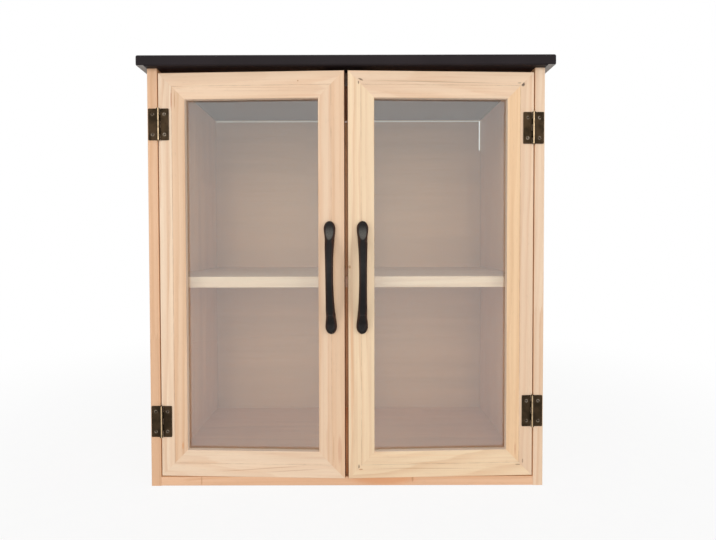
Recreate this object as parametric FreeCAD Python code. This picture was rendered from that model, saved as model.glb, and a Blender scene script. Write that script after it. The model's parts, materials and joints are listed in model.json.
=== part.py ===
import FreeCAD, Part
import math
import os

Vector = FreeCAD.Vector

# A glazed two-door bookcase. Millimetres, +X right, +Y to the back, +Z up.
# The origin is on the floor, at the centre of the case's footprint.

# Case
case_width = 600.0
case_depth = 300.0
case_height = 635.3
side_thickness = 15.0
bottom_thickness = 14.0
board_edge_radius = 1.0

# Top board
top_thickness = 16.0
top_overhang = 12.0
top_edge_radius = 3.0

# Shelf
shelf_thickness = 17.2
shelf_top_height = 320.0
shelf_setback = 20.0

# Back panel, with its light gaps and the strip that is missing at one corner
back_thickness = 10.0
back_top_gap = 3.3
back_side_gap = 0.4
back_corner_trim_width = 4.0
back_corner_trim_height = 62.0

# Wooden dowels in the case
dowel_diameter = 8.0
dowel_length = 30.0
dowel_bite = 10.0
dowel_edge_inset = 40.0
dowels_per_joint = 3
dowels_per_shelf_end = 2

# Wood screws in the back panel
back_screw_length = 30.0
back_screw_diameter = 3.5
back_screw_head_diameter = 7.0
back_screw_edge_inset = 45.0
bottom_screw_spacing = 160.0
shelf_screw_spacing = 240.0

# Door frames
door_thickness = 18.0
door_hinge_gap = 1.2
door_centre_gap = 4.8
door_top_gap = 6.3
door_bottom_gap = 1.4
door_ajar_angle = 1.9
frame_width = 39.8
frame_edge_radius = 1.5
moulding_line_inset = 20.5
moulding_step = 0.5
band_drop = 1.6
lip_radius = 1.2
rebate_width = 8.0
rebate_depth = 9.0

# Dowels across the mitres
mitre_dowel_diameter = 6.0
mitre_dowel_length = 26.0
mitre_dowel_first = 24.0
mitre_dowel_pitch = 14.0
mitre_dowels_per_corner = 2

# Glass, glazing beads and their pins
glass_thickness = 4.0
glass_side_clearance = 1.0
glass_top_clearance = 1.5
bead_width = 7.0
bead_chamfer = 2.5
bead_pin_diameter = 1.2
bead_pin_length = 12.0
bead_pin_end_inset = 45.0
bead_pin_spacing = 147.0

# Hinges
hinge_height = 47.5
hinge_open_width = 31.0
hinge_axis_inset = 2.2
hinge_leaf_thickness = 1.2
knuckle_radius = 2.4
knuckle_count = 5
knuckle_gap = 0.25
knuckle_side_clearance = 0.4
leaf_corner_radius = 1.2
hinge_pin_radius = 1.1
hinge_pin_head_radius = 1.7
hinge_pin_head_height = 0.7
hinge_screw_diameter = 2.8
hinge_screw_head_diameter = 5.4
hinge_screw_length = 14.0
hinge_screw_end_inset = 8.5
left_upper_hinge_drop = 77.5
left_lower_hinge_rise = 84.6
right_upper_hinge_drop = 84.0
right_lower_hinge_rise = 100.1

# Handles
handle_length = 169.5
handle_screw_pitch = 128.0
handle_edge_inset = 21.4
handle_drop = 1.9
handle_projection = 26.5
handle_foot_width = 17.5
handle_foot_length = 40.0
handle_foot_height = 8.5
handle_grip_width = 11.5
handle_neck_width = 14.4
handle_grip_thickness = 8.0
handle_scoop_length = 25.0
handle_scoop_width = 10.5
handle_scoop_depth = 2.2
handle_section_spacing = 16.0
foot_section_angle = 18.0
foot_reach_share = 0.995
left_handle_lean = 0.8
right_handle_lean = 0.3
handle_screw_diameter = 4.0
handle_screw_bite = 5.0
handle_screw_head_diameter = 8.0
handle_screw_head_height = 2.4

# Magnetic catch and strike plates
catch_width = 62.0
catch_depth = 14.0
catch_height = 20.0
catch_corner_radius = 1.5
catch_magnet_spacing = 34.0
catch_strike_gap = 0.3
magnet_width = 13.0
magnet_depth = 8.0
magnet_height = 5.0
pole_plate_thickness = 1.2
pole_plate_depth = 10.0
pole_plate_proud = 1.0
catch_screw_spacing = 52.0
catch_screw_length = 28.0
strike_width = 18.0
strike_height = 14.0
strike_thickness = 1.2
strike_top_inset = 2.0
strike_corner_radius = 2.0
strike_screw_length = 12.0
small_screw_diameter = 2.8
small_screw_head_diameter = 5.2

# Fits
press_clearance = 0.03
running_clearance = 0.05
hole_end_clearance = 0.3
screw_head_sink = 0.1
recess_depth_share = 0.7
recess_length_share = 0.62
recess_width_share = 0.16
screw_tip_share = 0.2
cut_overrun = 5.0

# Places worked out from the sizes above
front = -case_depth / 2
back = case_depth / 2
inner_half_width = case_width / 2 - side_thickness
back_inner = back - back_thickness
door_back = front + door_thickness
door_top = case_height - door_top_gap
door_bottom = bottom_thickness + door_bottom_gap
door_height = door_top - door_bottom
door_outer = -(inner_half_width - door_hinge_gap)
door_inner = -door_centre_gap / 2
door_width = door_inner - door_outer
hinge_axis_x = -(inner_half_width - hinge_axis_inset)
hinge_axis_y = front - knuckle_radius
rebate_wall = frame_width - rebate_width
bead_depth = rebate_depth - glass_thickness
bead_face = rebate_wall + bead_width
handle_centre_x = door_inner - handle_edge_inset
handle_centre_z = door_bottom + door_height / 2 - handle_drop
strike_centre_z = door_top - strike_top_inset - strike_height / 2
catch_front = door_back + strike_thickness + catch_strike_gap + pole_plate_proud
bow_rise = handle_projection - handle_grip_thickness / 2 - handle_foot_height / 2
bow_radius = ((handle_screw_pitch / 2) ** 2 + bow_rise ** 2) / (2 * bow_rise)
up = Vector(0, 0, 1)
along_x = Vector(1, 0, 0)
along_y = Vector(0, 1, 0)


def rounded_wire(corners):
    """A closed wire through corner points, each with its own rounding radius."""
    starts, arcs, ends = [], [], []
    count = len(corners)
    for i, (point, radius) in enumerate(corners):
        if not radius:
            starts.append(point)
            arcs.append(None)
            ends.append(point)
            continue
        to_last = (corners[i - 1][0] - point).normalize()
        to_next = (corners[(i + 1) % count][0] - point).normalize()
        half = to_last.getAngle(to_next) / 2
        bisector = (to_last + to_next).normalize()
        first = point + to_last * (radius / math.tan(half))
        last = point + to_next * (radius / math.tan(half))
        middle = point + bisector * (radius / math.sin(half) - radius)
        starts.append(first)
        arcs.append(Part.Arc(first, middle, last).toShape())
        ends.append(last)
    edges = []
    for i in range(count):
        if arcs[i]:
            edges.append(arcs[i])
        edges.append(Part.LineSegment(ends[i], starts[(i + 1) % count]).toShape())
    return Part.Wire(edges)


def prism(corners, run):
    """A solid made by pushing a rounded outline along the vector run."""
    return Part.Face(rounded_wire(corners)).extrude(run)


def block(low, high):
    """A box between two corner points."""
    size = high - low
    return Part.makeBox(size.x, size.y, size.z, low)


def turned(points, place):
    """A solid of revolution about Z through (radius, height) points, set at a placement."""
    path = [Vector(radius, 0, height) for radius, height in points]
    face = Part.Face(Part.makePolygon(path + [path[0]]))
    solid = face.revolve(Vector(0, 0, 0), up, 360)
    solid.Placement = place
    return solid


def aimed(point, direction):
    """The placement that carries the origin to point and +Z to direction."""
    return FreeCAD.Placement(point, FreeCAD.Rotation(up, direction))


def rod(point, direction, radius, length):
    """A cylinder that starts at point and runs along direction."""
    return Part.makeCylinder(radius, length, point, direction)


def spread(low, high, count):
    """Evenly spaced values from low to high, both included."""
    return [low + (high - low) * i / (count - 1) for i in range(count)]


def evenly(low, high, spacing):
    """Evenly spaced values from low to high, both included, about one spacing apart."""
    return spread(low, high, max(1, round((high - low) / spacing)) + 1)


def cut_all(solid, tools):
    """The solid with every tool cut away."""
    return solid.cut(tools) if tools else solid


def countersunk_screw(head, direction, diameter, head_diameter, length):
    """A wood screw whose flat head lies at head and whose shank runs along direction."""
    radius = diameter / 2
    head_radius = head_diameter / 2
    sink = head_radius - radius
    tip = length - diameter * screw_tip_share
    outline = [(0, 0), (head_radius, 0), (radius, sink), (radius, tip), (0, length)]
    shape = turned(outline, FreeCAD.Placement())
    depth = sink * recess_depth_share
    long_half = head_radius * recess_length_share
    short_half = head_radius * recess_width_share
    for across, along in ((long_half, short_half), (short_half, long_half)):
        slot = block(Vector(-across, -along, 0), Vector(across, along, depth))
        shape = shape.cut(slot)
    shape.Placement = aimed(head, direction)
    return shape


def screw_hole(head, direction, diameter, head_diameter, length):
    """The space that a countersunk screw needs, open in front of its head."""
    radius = diameter / 2 + press_clearance
    head_radius = head_diameter / 2 + press_clearance
    sink = head_radius - radius
    points = [
        (0, -cut_overrun),
        (head_radius, -cut_overrun),
        (head_radius, 0),
        (radius, sink),
        (radius, length + hole_end_clearance),
        (0, length + hole_end_clearance),
    ]
    return turned(points, aimed(head, direction))


def dowel(centre, direction, diameter, length):
    """A dowel with chamfered ends, centred on a point."""
    radius = diameter / 2
    chamfer = radius / 4
    half = length / 2
    points = [
        (0, -half),
        (radius - chamfer, -half),
        (radius, -half + chamfer),
        (radius, half - chamfer),
        (radius - chamfer, half),
        (0, half),
    ]
    return turned(points, aimed(centre, direction))


def dowel_hole(centre, direction, diameter, length):
    """The bore for a dowel, a little deeper than the dowel at both ends."""
    half = length / 2 + hole_end_clearance
    return rod(centre - direction * half, direction, diameter / 2 + press_clearance, half * 2)


def mirrored(shape):
    """The same piece on the right-hand side."""
    return shape.mirror(Vector(0, 0, 0), along_x)


# Joints of the case

def top_dowel_centres():
    """Centres of the upright dowels between the left side panel and the top board."""
    x = -case_width / 2 + side_thickness / 2
    z = case_height + dowel_bite - dowel_length / 2
    places = spread(front + dowel_edge_inset, back - dowel_edge_inset, dowels_per_joint)
    return [Vector(x, y, z) for y in places]


def end_dowel_centres(low_z, thickness, count, first_y):
    """Centres of the dowels between a level board's left end and the left side panel."""
    x = -inner_half_width - dowel_bite + dowel_length / 2
    places = spread(first_y + dowel_edge_inset, back_inner - dowel_edge_inset, count)
    return [Vector(x, y, low_z + thickness / 2) for y in places]


def case_dowel_groups():
    """The dowels of each joint: left-hand centres and the direction that they lie in."""
    shelf_low = shelf_top_height - shelf_thickness
    shelf_front = front + shelf_setback
    return {
        "top_dowels": (top_dowel_centres(), up),
        "bottom_dowels": (end_dowel_centres(0, bottom_thickness, dowels_per_joint, front), along_x),
        "shelf_dowels": (
            end_dowel_centres(shelf_low, shelf_thickness, dowels_per_shelf_end, shelf_front), along_x),
    }


def dowel_bores(names):
    """Bores on both sides of the case for the dowels of the named joints."""
    bores = []
    for name in names:
        centres, direction = case_dowel_groups()[name]
        for centre in centres:
            bore = dowel_hole(centre, direction, dowel_diameter, dowel_length)
            bores += [bore, mirrored(bore)]
    return bores


def back_screw_heads():
    """Head centres of the screws through the back panel."""
    reach = inner_half_width - back_screw_edge_inset
    shelf_middle = shelf_top_height - shelf_thickness / 2
    heads = []
    for z, spacing in ((bottom_thickness / 2, bottom_screw_spacing), (shelf_middle, shelf_screw_spacing)):
        heads += [Vector(x, back - screw_head_sink, z) for x in evenly(-reach, reach, spacing)]
    return heads


def back_screw_holes():
    """Holes for the screws through the back panel."""
    return [
        screw_hole(head, -along_y, back_screw_diameter, back_screw_head_diameter, back_screw_length)
        for head in back_screw_heads()
    ]


def hinge_middles(side):
    """Heights of the middle of the upper and the lower hinge on one side."""
    if side == "left":
        return {"upper": door_top - left_upper_hinge_drop, "lower": door_bottom + left_lower_hinge_rise}
    return {"upper": door_top - right_upper_hinge_drop, "lower": door_bottom + right_lower_hinge_rise}


def hinge_screw_heads(side, direction):
    """Head centres of one leaf's screws on both hinges of a side; direction -1 is the case leaf."""
    leaf_middle = (knuckle_radius + hinge_open_width / 2) / 2
    x = hinge_axis_x + direction * leaf_middle
    y = front - hinge_leaf_thickness + screw_head_sink
    reach = hinge_height / 2 - hinge_screw_end_inset
    heads = []
    for middle in hinge_middles(side).values():
        heads += [Vector(x, y, middle - reach), Vector(x, y, middle + reach)]
    return heads


def hinge_screw_holes(side, direction):
    """Screw holes of one leaf on both hinges of a side."""
    return [
        screw_hole(head, along_y, hinge_screw_diameter, hinge_screw_head_diameter, hinge_screw_length)
        for head in hinge_screw_heads(side, direction)
    ]


def catch_screw_heads():
    """Head centres of the screws that hold the catch under the top board."""
    y = catch_front + catch_depth / 2
    z = case_height - catch_height + screw_head_sink
    return [Vector(x * catch_screw_spacing / 2, y, z) for x in (-1, 1)]


def catch_screw_holes():
    """Holes for the catch's screws."""
    return [
        screw_hole(head, up, small_screw_diameter, small_screw_head_diameter, catch_screw_length)
        for head in catch_screw_heads()
    ]


# Case

def side_panel(side):
    """A side panel with eased front edges, bored for its dowels and hinge screws."""
    outer, inner = -case_width / 2, -inner_half_width
    radius = min(board_edge_radius, side_thickness / 3)
    corners = [
        (Vector(outer, front, 0), radius),
        (Vector(inner, front, 0), radius),
        (Vector(inner, back, 0), 0),
        (Vector(outer, back, 0), 0),
    ]
    panel = prism(corners, up * case_height)
    panel = cut_all(panel, dowel_bores(["top_dowels", "bottom_dowels", "shelf_dowels"]))
    panel = cut_all(panel, hinge_screw_holes(side, -1))
    return panel if side == "left" else mirrored(panel)


def level_board(board_front, low_z, thickness):
    """A board that lies between the side panels, with eased front edges."""
    radius = min(board_edge_radius, thickness / 3)
    x = -inner_half_width
    corners = [
        (Vector(x, board_front, low_z), radius),
        (Vector(x, back_inner, low_z), 0),
        (Vector(x, back_inner, low_z + thickness), 0),
        (Vector(x, board_front, low_z + thickness), radius),
    ]
    return prism(corners, along_x * inner_half_width * 2)


def bottom_board():
    """The board that the case stands on, under the doors."""
    board = level_board(front, 0, bottom_thickness)
    return cut_all(board, dowel_bores(["bottom_dowels"]) + back_screw_holes())


def shelf():
    """The fixed shelf behind the doors."""
    board = level_board(front + shelf_setback, shelf_top_height - shelf_thickness, shelf_thickness)
    return cut_all(board, dowel_bores(["shelf_dowels"]) + back_screw_holes())


def top_board():
    """The top board, rounded on its three open sides."""
    reach = case_width / 2 + top_overhang
    low = Vector(-reach, front - top_overhang, case_height)
    high = Vector(reach, back, case_height + top_thickness)
    board = block(low, high)
    radius = min(top_edge_radius, top_thickness / 3)
    open_edges = [edge for edge in board.Edges if edge.BoundBox.YMin < back - radius]
    board = board.makeFillet(radius, open_edges)
    return cut_all(board, dowel_bores(["top_dowels"]) + catch_screw_holes())


def back_panel():
    """The panel between the side panels, clear of the top board, with a strip gone at one corner."""
    reach = inner_half_width - back_side_gap
    top = case_height - back_top_gap
    notch = top - back_corner_trim_height
    corners = [
        (Vector(-reach, back_inner, 0), 0),
        (Vector(reach, back_inner, 0), 0),
        (Vector(reach, back_inner, notch), 0),
        (Vector(reach - back_corner_trim_width, back_inner, notch), 0),
        (Vector(reach - back_corner_trim_width, back_inner, top), 0),
        (Vector(-reach, back_inner, top), 0),
    ]
    return cut_all(prism(corners, along_y * back_thickness), back_screw_holes())


def case_dowels(name):
    """All dowels of one joint, on both sides."""
    centres, direction = case_dowel_groups()[name]
    left = [dowel(centre, direction, dowel_diameter, dowel_length) for centre in centres]
    return Part.makeCompound(left + [mirrored(piece) for piece in left])


def back_panel_screws():
    """The screws through the back panel."""
    return Part.makeCompound([
        countersunk_screw(head, -along_y, back_screw_diameter, back_screw_head_diameter, back_screw_length)
        for head in back_screw_heads()
    ])


# Magnetic catch under the top board

def magnet_stacks():
    """Middles of the two magnets, on the front face of the housing."""
    return [Vector(x * catch_magnet_spacing / 2, catch_front, strike_centre_z) for x in (-1, 1)]


def magnet_block(middle):
    """One magnet, just behind the front of the housing."""
    low = middle + Vector(-magnet_width / 2, press_clearance, -magnet_height / 2)
    return block(low, low + Vector(magnet_width, magnet_depth, magnet_height))


def pole_plate(middle, level):
    """A steel plate over (1) or under (-1) a magnet, a little proud of the housing."""
    offset = magnet_height / 2 + press_clearance
    low_z = offset if level > 0 else -offset - pole_plate_thickness
    low = middle + Vector(-magnet_width / 2, -pole_plate_proud, low_z)
    return block(low, low + Vector(magnet_width, pole_plate_depth, pole_plate_thickness))


def catch_housing():
    """The plastic housing with two pockets, one for each magnet and its plates."""
    reach = catch_width / 2
    y = catch_front
    corners = [
        (Vector(-reach, y, case_height - catch_height), catch_corner_radius),
        (Vector(reach, y, case_height - catch_height), catch_corner_radius),
        (Vector(reach, y, case_height), 0),
        (Vector(-reach, y, case_height), 0),
    ]
    housing = prism(corners, along_y * catch_depth)
    half_width = magnet_width / 2 + press_clearance
    half_height = magnet_height / 2 + pole_plate_thickness + press_clearance * 2
    pocket_depth = pole_plate_depth - pole_plate_proud + press_clearance
    for middle in magnet_stacks():
        low = middle + Vector(-half_width, -cut_overrun, -half_height)
        high = middle + Vector(half_width, pocket_depth, half_height)
        housing = housing.cut(block(low, high))
    return cut_all(housing, catch_screw_holes())


def catch_screws():
    """The two screws that hold the catch."""
    return Part.makeCompound([
        countersunk_screw(head, up, small_screw_diameter, small_screw_head_diameter, catch_screw_length)
        for head in catch_screw_heads()
    ])


# Hinges, built for the left side with the pin's axis at hinge_axis_x, hinge_axis_y

def hinge_leaf(middle, direction):
    """A leaf with its knuckles; direction -1 is screwed to the case, 1 to the door."""
    low = middle - hinge_height / 2
    band = hinge_height / knuckle_count
    axis = Vector(hinge_axis_x, hinge_axis_y, low)
    outer = direction * hinge_open_width / 2
    plate_back = knuckle_radius
    plate_front = knuckle_radius - hinge_leaf_thickness
    corners = [
        (axis + Vector(0, plate_front, 0), 0),
        (axis + Vector(outer, plate_front, 0), leaf_corner_radius),
        (axis + Vector(outer, plate_front, hinge_height), leaf_corner_radius),
        (axis + Vector(0, plate_front, hinge_height), 0),
    ]
    leaf = prism(corners, along_y * (plate_back - plate_front))
    own = [i for i in range(knuckle_count) if (i % 2 == 0) == (direction < 0)]
    clear = knuckle_radius + knuckle_side_clearance
    for i in range(knuckle_count):
        start = band * i
        end = band * (i + 1)
        if i in own:
            first = start if i == 0 else start + knuckle_gap / 2
            last = end if i == knuckle_count - 1 else end - knuckle_gap / 2
            leaf = leaf.fuse(rod(axis + up * first, up, knuckle_radius, last - first))
        else:
            first = start - knuckle_gap / 2
            last = end + knuckle_gap / 2
            leaf = leaf.cut(block(axis + Vector(-clear, -clear, first), axis + Vector(clear, clear, last)))
    clearance = press_clearance if direction < 0 else running_clearance
    bore = rod(axis - up * cut_overrun, up, hinge_pin_radius + clearance, hinge_height + cut_overrun * 2)
    return leaf.cut(bore).removeSplitter()


def hinge_pin(middle):
    """The pin of one hinge, with a low head at each end."""
    low = middle - hinge_height / 2
    points = [
        (0, -hinge_pin_head_height),
        (hinge_pin_head_radius, -hinge_pin_head_height),
        (hinge_pin_head_radius, -press_clearance),
        (hinge_pin_radius, -press_clearance),
        (hinge_pin_radius, hinge_height + press_clearance),
        (hinge_pin_head_radius, hinge_height + press_clearance),
        (hinge_pin_head_radius, hinge_height + hinge_pin_head_height),
        (0, hinge_height + hinge_pin_head_height),
    ]
    return turned(points, aimed(Vector(hinge_axis_x, hinge_axis_y, low), up))


def hinge_screws(side, direction):
    """The screws of one leaf on both hinges of a side, built on the left."""
    return [
        countersunk_screw(head, along_y, hinge_screw_diameter, hinge_screw_head_diameter, hinge_screw_length)
        for head in hinge_screw_heads(side, direction)
    ]


# Door members. Each is built along +Z with its outer edge at x 0 and its front at y 0

def member_profile():
    """Section of a frame member: eased edge, moulding line, sloped band, lip and rebate."""
    radius = min(frame_edge_radius, frame_width / 8)
    return [
        (Vector(0, 0, 0), radius),
        (Vector(moulding_line_inset, 0, 0), 0),
        (Vector(moulding_line_inset, moulding_step, 0), 0),
        (Vector(frame_width, band_drop, 0), lip_radius),
        (Vector(frame_width, door_thickness - rebate_depth, 0), 0),
        (Vector(rebate_wall, door_thickness - rebate_depth, 0), 0),
        (Vector(rebate_wall, door_thickness, 0), 0),
        (Vector(0, door_thickness, 0), 0),
    ]


def bead_profile():
    """Section of a glazing bead, chamfered where it faces the pane."""
    low = door_thickness - bead_depth
    chamfer = min(bead_chamfer, bead_width / 2, bead_depth / 2)
    return [
        (Vector(rebate_wall, low, 0), 0),
        (Vector(bead_face, low, 0), 0),
        (Vector(bead_face, door_thickness - chamfer, 0), 0),
        (Vector(bead_face - chamfer, door_thickness, 0), 0),
        (Vector(rebate_wall, door_thickness, 0), 0),
    ]


def mitred(profile, length):
    """A strip of the given section, mitred at both ends towards its inner edge."""
    strip = prism(profile, up * length)
    wedge = [
        (Vector(0, -cut_overrun, 0), 0),
        (Vector(frame_width, -cut_overrun, frame_width), 0),
        (Vector(frame_width, -cut_overrun, length - frame_width), 0),
        (Vector(0, -cut_overrun, length), 0),
    ]
    return strip.common(prism(wedge, along_y * (door_thickness + cut_overrun * 2)))


def member_places():
    """Corner, turn about Y and length of the four members, clockwise from the hinge stile."""
    return {
        "hinge_stile": (Vector(door_outer, front, door_bottom), 0, door_height),
        "top_rail": (Vector(door_outer, front, door_top), 90, door_width),
        "meeting_stile": (Vector(door_inner, front, door_top), 180, door_height),
        "bottom_rail": (Vector(door_inner, front, door_bottom), 270, door_width),
    }


def placed(shape, member):
    """A strip's shape, carried to its member's place in the door."""
    corner, angle, _ = member_places()[member]
    shape.Placement = FreeCAD.Placement(corner, FreeCAD.Rotation(along_y, angle)).multiply(shape.Placement)
    return shape


def mitre_dowel_places():
    """Centre and direction of each dowel across the four mitres."""
    places = []
    for x, z, toward_x, toward_z in (
        (door_outer, door_bottom, 1, 1),
        (door_outer, door_top, 1, -1),
        (door_inner, door_top, -1, -1),
        (door_inner, door_bottom, -1, 1),
    ):
        inward = Vector(toward_x, 0, toward_z).normalize()
        across = Vector(toward_x, 0, -toward_z).normalize()
        for i in range(mitre_dowels_per_corner):
            step = mitre_dowel_first + mitre_dowel_pitch * i
            places.append((Vector(x, front + door_thickness / 2, z) + inward * step, across))
    return places


def bead_pin_places(member):
    """Starts of the pins through one bead, in the member's own frame."""
    length = member_places()[member][2]
    first = frame_width + bead_pin_end_inset
    last = length - first
    y = door_thickness - bead_depth / 2 - bead_chamfer / 4
    return [Vector(bead_face - screw_head_sink, y, z) for z in evenly(first, last, bead_pin_spacing)]


def bead_pin_holes(member):
    """Bores for the pins of one bead, in the member's own frame."""
    radius = bead_pin_diameter / 2 + press_clearance
    reach = bead_pin_length + hole_end_clearance
    return [
        rod(start + along_x * cut_overrun, -along_x, radius, reach + cut_overrun)
        for start in bead_pin_places(member)
    ]


def door_wide_cuts(side):
    """Everything that is bored through the frame in the door's own place."""
    cuts = [
        dowel_hole(centre, across, mitre_dowel_diameter, mitre_dowel_length)
        for centre, across in mitre_dowel_places()
    ]
    cuts += hinge_screw_holes(side, 1)
    cuts += [handle_bore(start) for start in handle_screw_starts(side)]
    cuts.append(strike_screw_hole())
    return cuts


def frame_member(side, member):
    """One stile or rail, mitred, rebated and bored."""
    strip = mitred(member_profile(), member_places()[member][2])
    strip = cut_all(strip, bead_pin_holes(member))
    return cut_all(placed(strip, member), door_wide_cuts(side))


def glazing_bead(member):
    """The bead that holds the pane in one member's rebate."""
    strip = mitred(bead_profile(), member_places()[member][2])
    return placed(cut_all(strip, bead_pin_holes(member)), member)


def bead_pins():
    """Every pin of the door's beads."""
    pins = []
    for member in member_places():
        for start in bead_pin_places(member):
            pins.append(placed(rod(start, -along_x, bead_pin_diameter / 2, bead_pin_length), member))
    return Part.makeCompound(pins)


def glass_pane():
    """The pane, standing on the bottom rail's rebate and against the front of the rebate."""
    inset = rebate_wall + glass_side_clearance
    pane_front = front + door_thickness - rebate_depth
    low = Vector(door_outer + inset, pane_front, door_bottom + rebate_wall)
    high = Vector(
        door_inner - inset, pane_front + glass_thickness, door_top - rebate_wall - glass_top_clearance)
    return block(low, high)


# Handle, built upright with its middle at the origin, its back at y 0 and its front at -y

def bow_depth(z):
    """How far the grip's centre line stands off the door at a height."""
    return handle_foot_height / 2 + math.sqrt(bow_radius ** 2 - z ** 2) - (bow_radius - bow_rise)


def bow_section(z):
    """The grip's elliptical section at a height, square to its centre line."""
    lean = math.degrees(math.asin(z / bow_radius))
    neck_share = (2 * z / handle_screw_pitch) ** 2
    width = handle_grip_width + (handle_neck_width - handle_grip_width) * neck_share
    ring = Part.Ellipse(Vector(0, 0, 0), width / 2, handle_grip_thickness / 2).toShape()
    ring.Placement = FreeCAD.Placement(Vector(0, -bow_depth(z), z), FreeCAD.Rotation(along_x, -lean))
    return Part.Wire(ring)


def foot_section(share, centre_z):
    """The foot's D-shaped section at a share of its half length, flat on the door."""
    size = math.sqrt(1 - share * share)
    z = centre_z + share * handle_foot_length / 2
    across = handle_foot_width / 2 * size
    left, right = Vector(-across, 0, z), Vector(across, 0, z)
    crown = Part.Arc(left, Vector(0, -handle_foot_height * size, z), right).toShape()
    return Part.Wire([crown, Part.LineSegment(right, left).toShape()])


def handle_foot(level):
    """A domed foot; level is 1 at the top, -1 at the bottom."""
    centre_z = level * (handle_length - handle_foot_length) / 2
    turns = [math.radians(angle) for angle in evenly(0, 180, foot_section_angle)]
    shares = [-math.cos(turn) * foot_reach_share for turn in turns]
    return Part.makeLoft([foot_section(share, centre_z) for share in shares], True)


def handle_scoop(level):
    """The barrel-shaped tool that hollows the front of a foot towards its tip."""
    across = handle_scoop_width / 2
    along = handle_scoop_length / 2
    depth = handle_scoop_depth
    radius = (across * across + depth * depth) / (2 * depth)
    rim = handle_foot_width - handle_scoop_width
    centre_z = level * (handle_length / 2 - along - rim / 2)
    axis_y = -handle_foot_height - radius + depth
    low, high = Vector(radius - depth, 0, -along), Vector(radius - depth, 0, along)
    ends = [Vector(0, 0, -along), low]
    edges = [
        Part.LineSegment(*ends).toShape(),
        Part.Arc(low, Vector(radius, 0, 0), high).toShape(),
        Part.LineSegment(high, Vector(0, 0, along)).toShape(),
        Part.LineSegment(Vector(0, 0, along), ends[0]).toShape(),
    ]
    barrel = Part.Face(Part.Wire(edges)).revolve(Vector(0, 0, 0), up, 360)
    barrel.translate(Vector(0, axis_y, centre_z))
    return barrel


def handle_screw_starts(side):
    """Where each handle screw's head meets the back of the stile."""
    return [handle_set(Vector(0, door_thickness, level * handle_screw_pitch / 2), side) for level in (1, -1)]


def handle_turn(side):
    """The placement of a side's handle on the left-hand door."""
    lean = left_handle_lean if side == "left" else -right_handle_lean
    centre = Vector(handle_centre_x, front, handle_centre_z)
    return FreeCAD.Placement(centre, FreeCAD.Rotation(along_y, -lean))


def handle_set(point, side):
    """A point of the handle's own frame, carried to the door."""
    return handle_turn(side).multVec(point)


def handle_bore(start):
    """The bore for a handle screw through the stile and into the foot."""
    reach = door_thickness + handle_screw_bite + hole_end_clearance
    return rod(start, -along_y, handle_screw_diameter / 2 + press_clearance, reach)


def handle(side):
    """The bow handle with its scooped feet."""
    half = handle_screw_pitch / 2
    sections = [bow_section(z) for z in evenly(-half, half, handle_section_spacing)]
    shape = Part.makeLoft(sections, True)
    shape = shape.fuse([handle_foot(level) for level in (1, -1)])
    shape = cut_all(shape, [handle_scoop(level) for level in (1, -1)])
    shape.Placement = handle_turn(side)
    return cut_all(shape, [handle_bore(start) for start in handle_screw_starts(side)])


def handle_screws(side):
    """The two machine screws of a handle, with rounded heads behind the stile."""
    radius = handle_screw_diameter / 2
    head = handle_screw_head_diameter / 2
    reach = door_thickness + handle_screw_bite
    points = [
        (0, -handle_screw_head_height),
        (head / 2, -handle_screw_head_height),
        (head, -handle_screw_head_height / 3),
        (head, 0),
        (radius, 0),
        (radius, reach),
        (0, reach),
    ]
    return Part.makeCompound([turned(points, aimed(start, -along_y)) for start in handle_screw_starts(side)])


# Strike plate on the back of a door

def strike_centre():
    """The middle of the strike plate on the door's back."""
    return Vector(-catch_magnet_spacing / 2, door_back, strike_centre_z)


def strike_screw_head():
    """Where the strike plate's screw head lies."""
    return strike_centre() + along_y * (strike_thickness - screw_head_sink)


def strike_screw_hole():
    """The hole for the strike plate's screw, through the plate and into the door."""
    return screw_hole(
        strike_screw_head(), -along_y, small_screw_diameter, small_screw_head_diameter, strike_screw_length)


def strike_plate():
    """A steel plate with rounded corners and one countersunk hole."""
    middle = strike_centre()
    across, upward = strike_width / 2, strike_height / 2
    corners = [
        (middle + Vector(-across, 0, -upward), strike_corner_radius),
        (middle + Vector(across, 0, -upward), strike_corner_radius),
        (middle + Vector(across, 0, upward), strike_corner_radius),
        (middle + Vector(-across, 0, upward), strike_corner_radius),
    ]
    return prism(corners, along_y * strike_thickness).cut(strike_screw_hole())


# Assembly

def door_nodes(side):
    """Every piece that turns with a door, built shut on the left-hand side."""
    nodes = {}
    for member in member_places():
        nodes[member] = frame_member(side, member)
        bead = member.replace("stile", "side_bead") if "stile" in member else member.replace("rail", "bead")
        nodes[bead] = glazing_bead(member)
    nodes["mitre_dowels"] = Part.makeCompound([
        dowel(centre, across, mitre_dowel_diameter, mitre_dowel_length)
        for centre, across in mitre_dowel_places()
    ])
    nodes["glass"] = glass_pane()
    nodes["bead_pins"] = bead_pins()
    nodes["handle"] = handle(side)
    nodes["handle_screws"] = handle_screws(side)
    nodes["strike_plate"] = strike_plate()
    nodes["strike_screw"] = countersunk_screw(
        strike_screw_head(), -along_y, small_screw_diameter, small_screw_head_diameter, strike_screw_length)
    for level, middle in hinge_middles(side).items():
        leaf = cut_all(hinge_leaf(middle, 1), hinge_screw_holes(side, 1))
        nodes[level + "_hinge_door_leaf"] = leaf
    nodes["hinge_door_screws"] = Part.makeCompound(hinge_screws(side, 1))
    return nodes


def ajar(shape):
    """A piece of the left-hand door, swung out a little about the hinge axis."""
    swung = shape.copy()
    swung.rotate(Vector(hinge_axis_x, hinge_axis_y, 0), up, -door_ajar_angle)
    return swung


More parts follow.
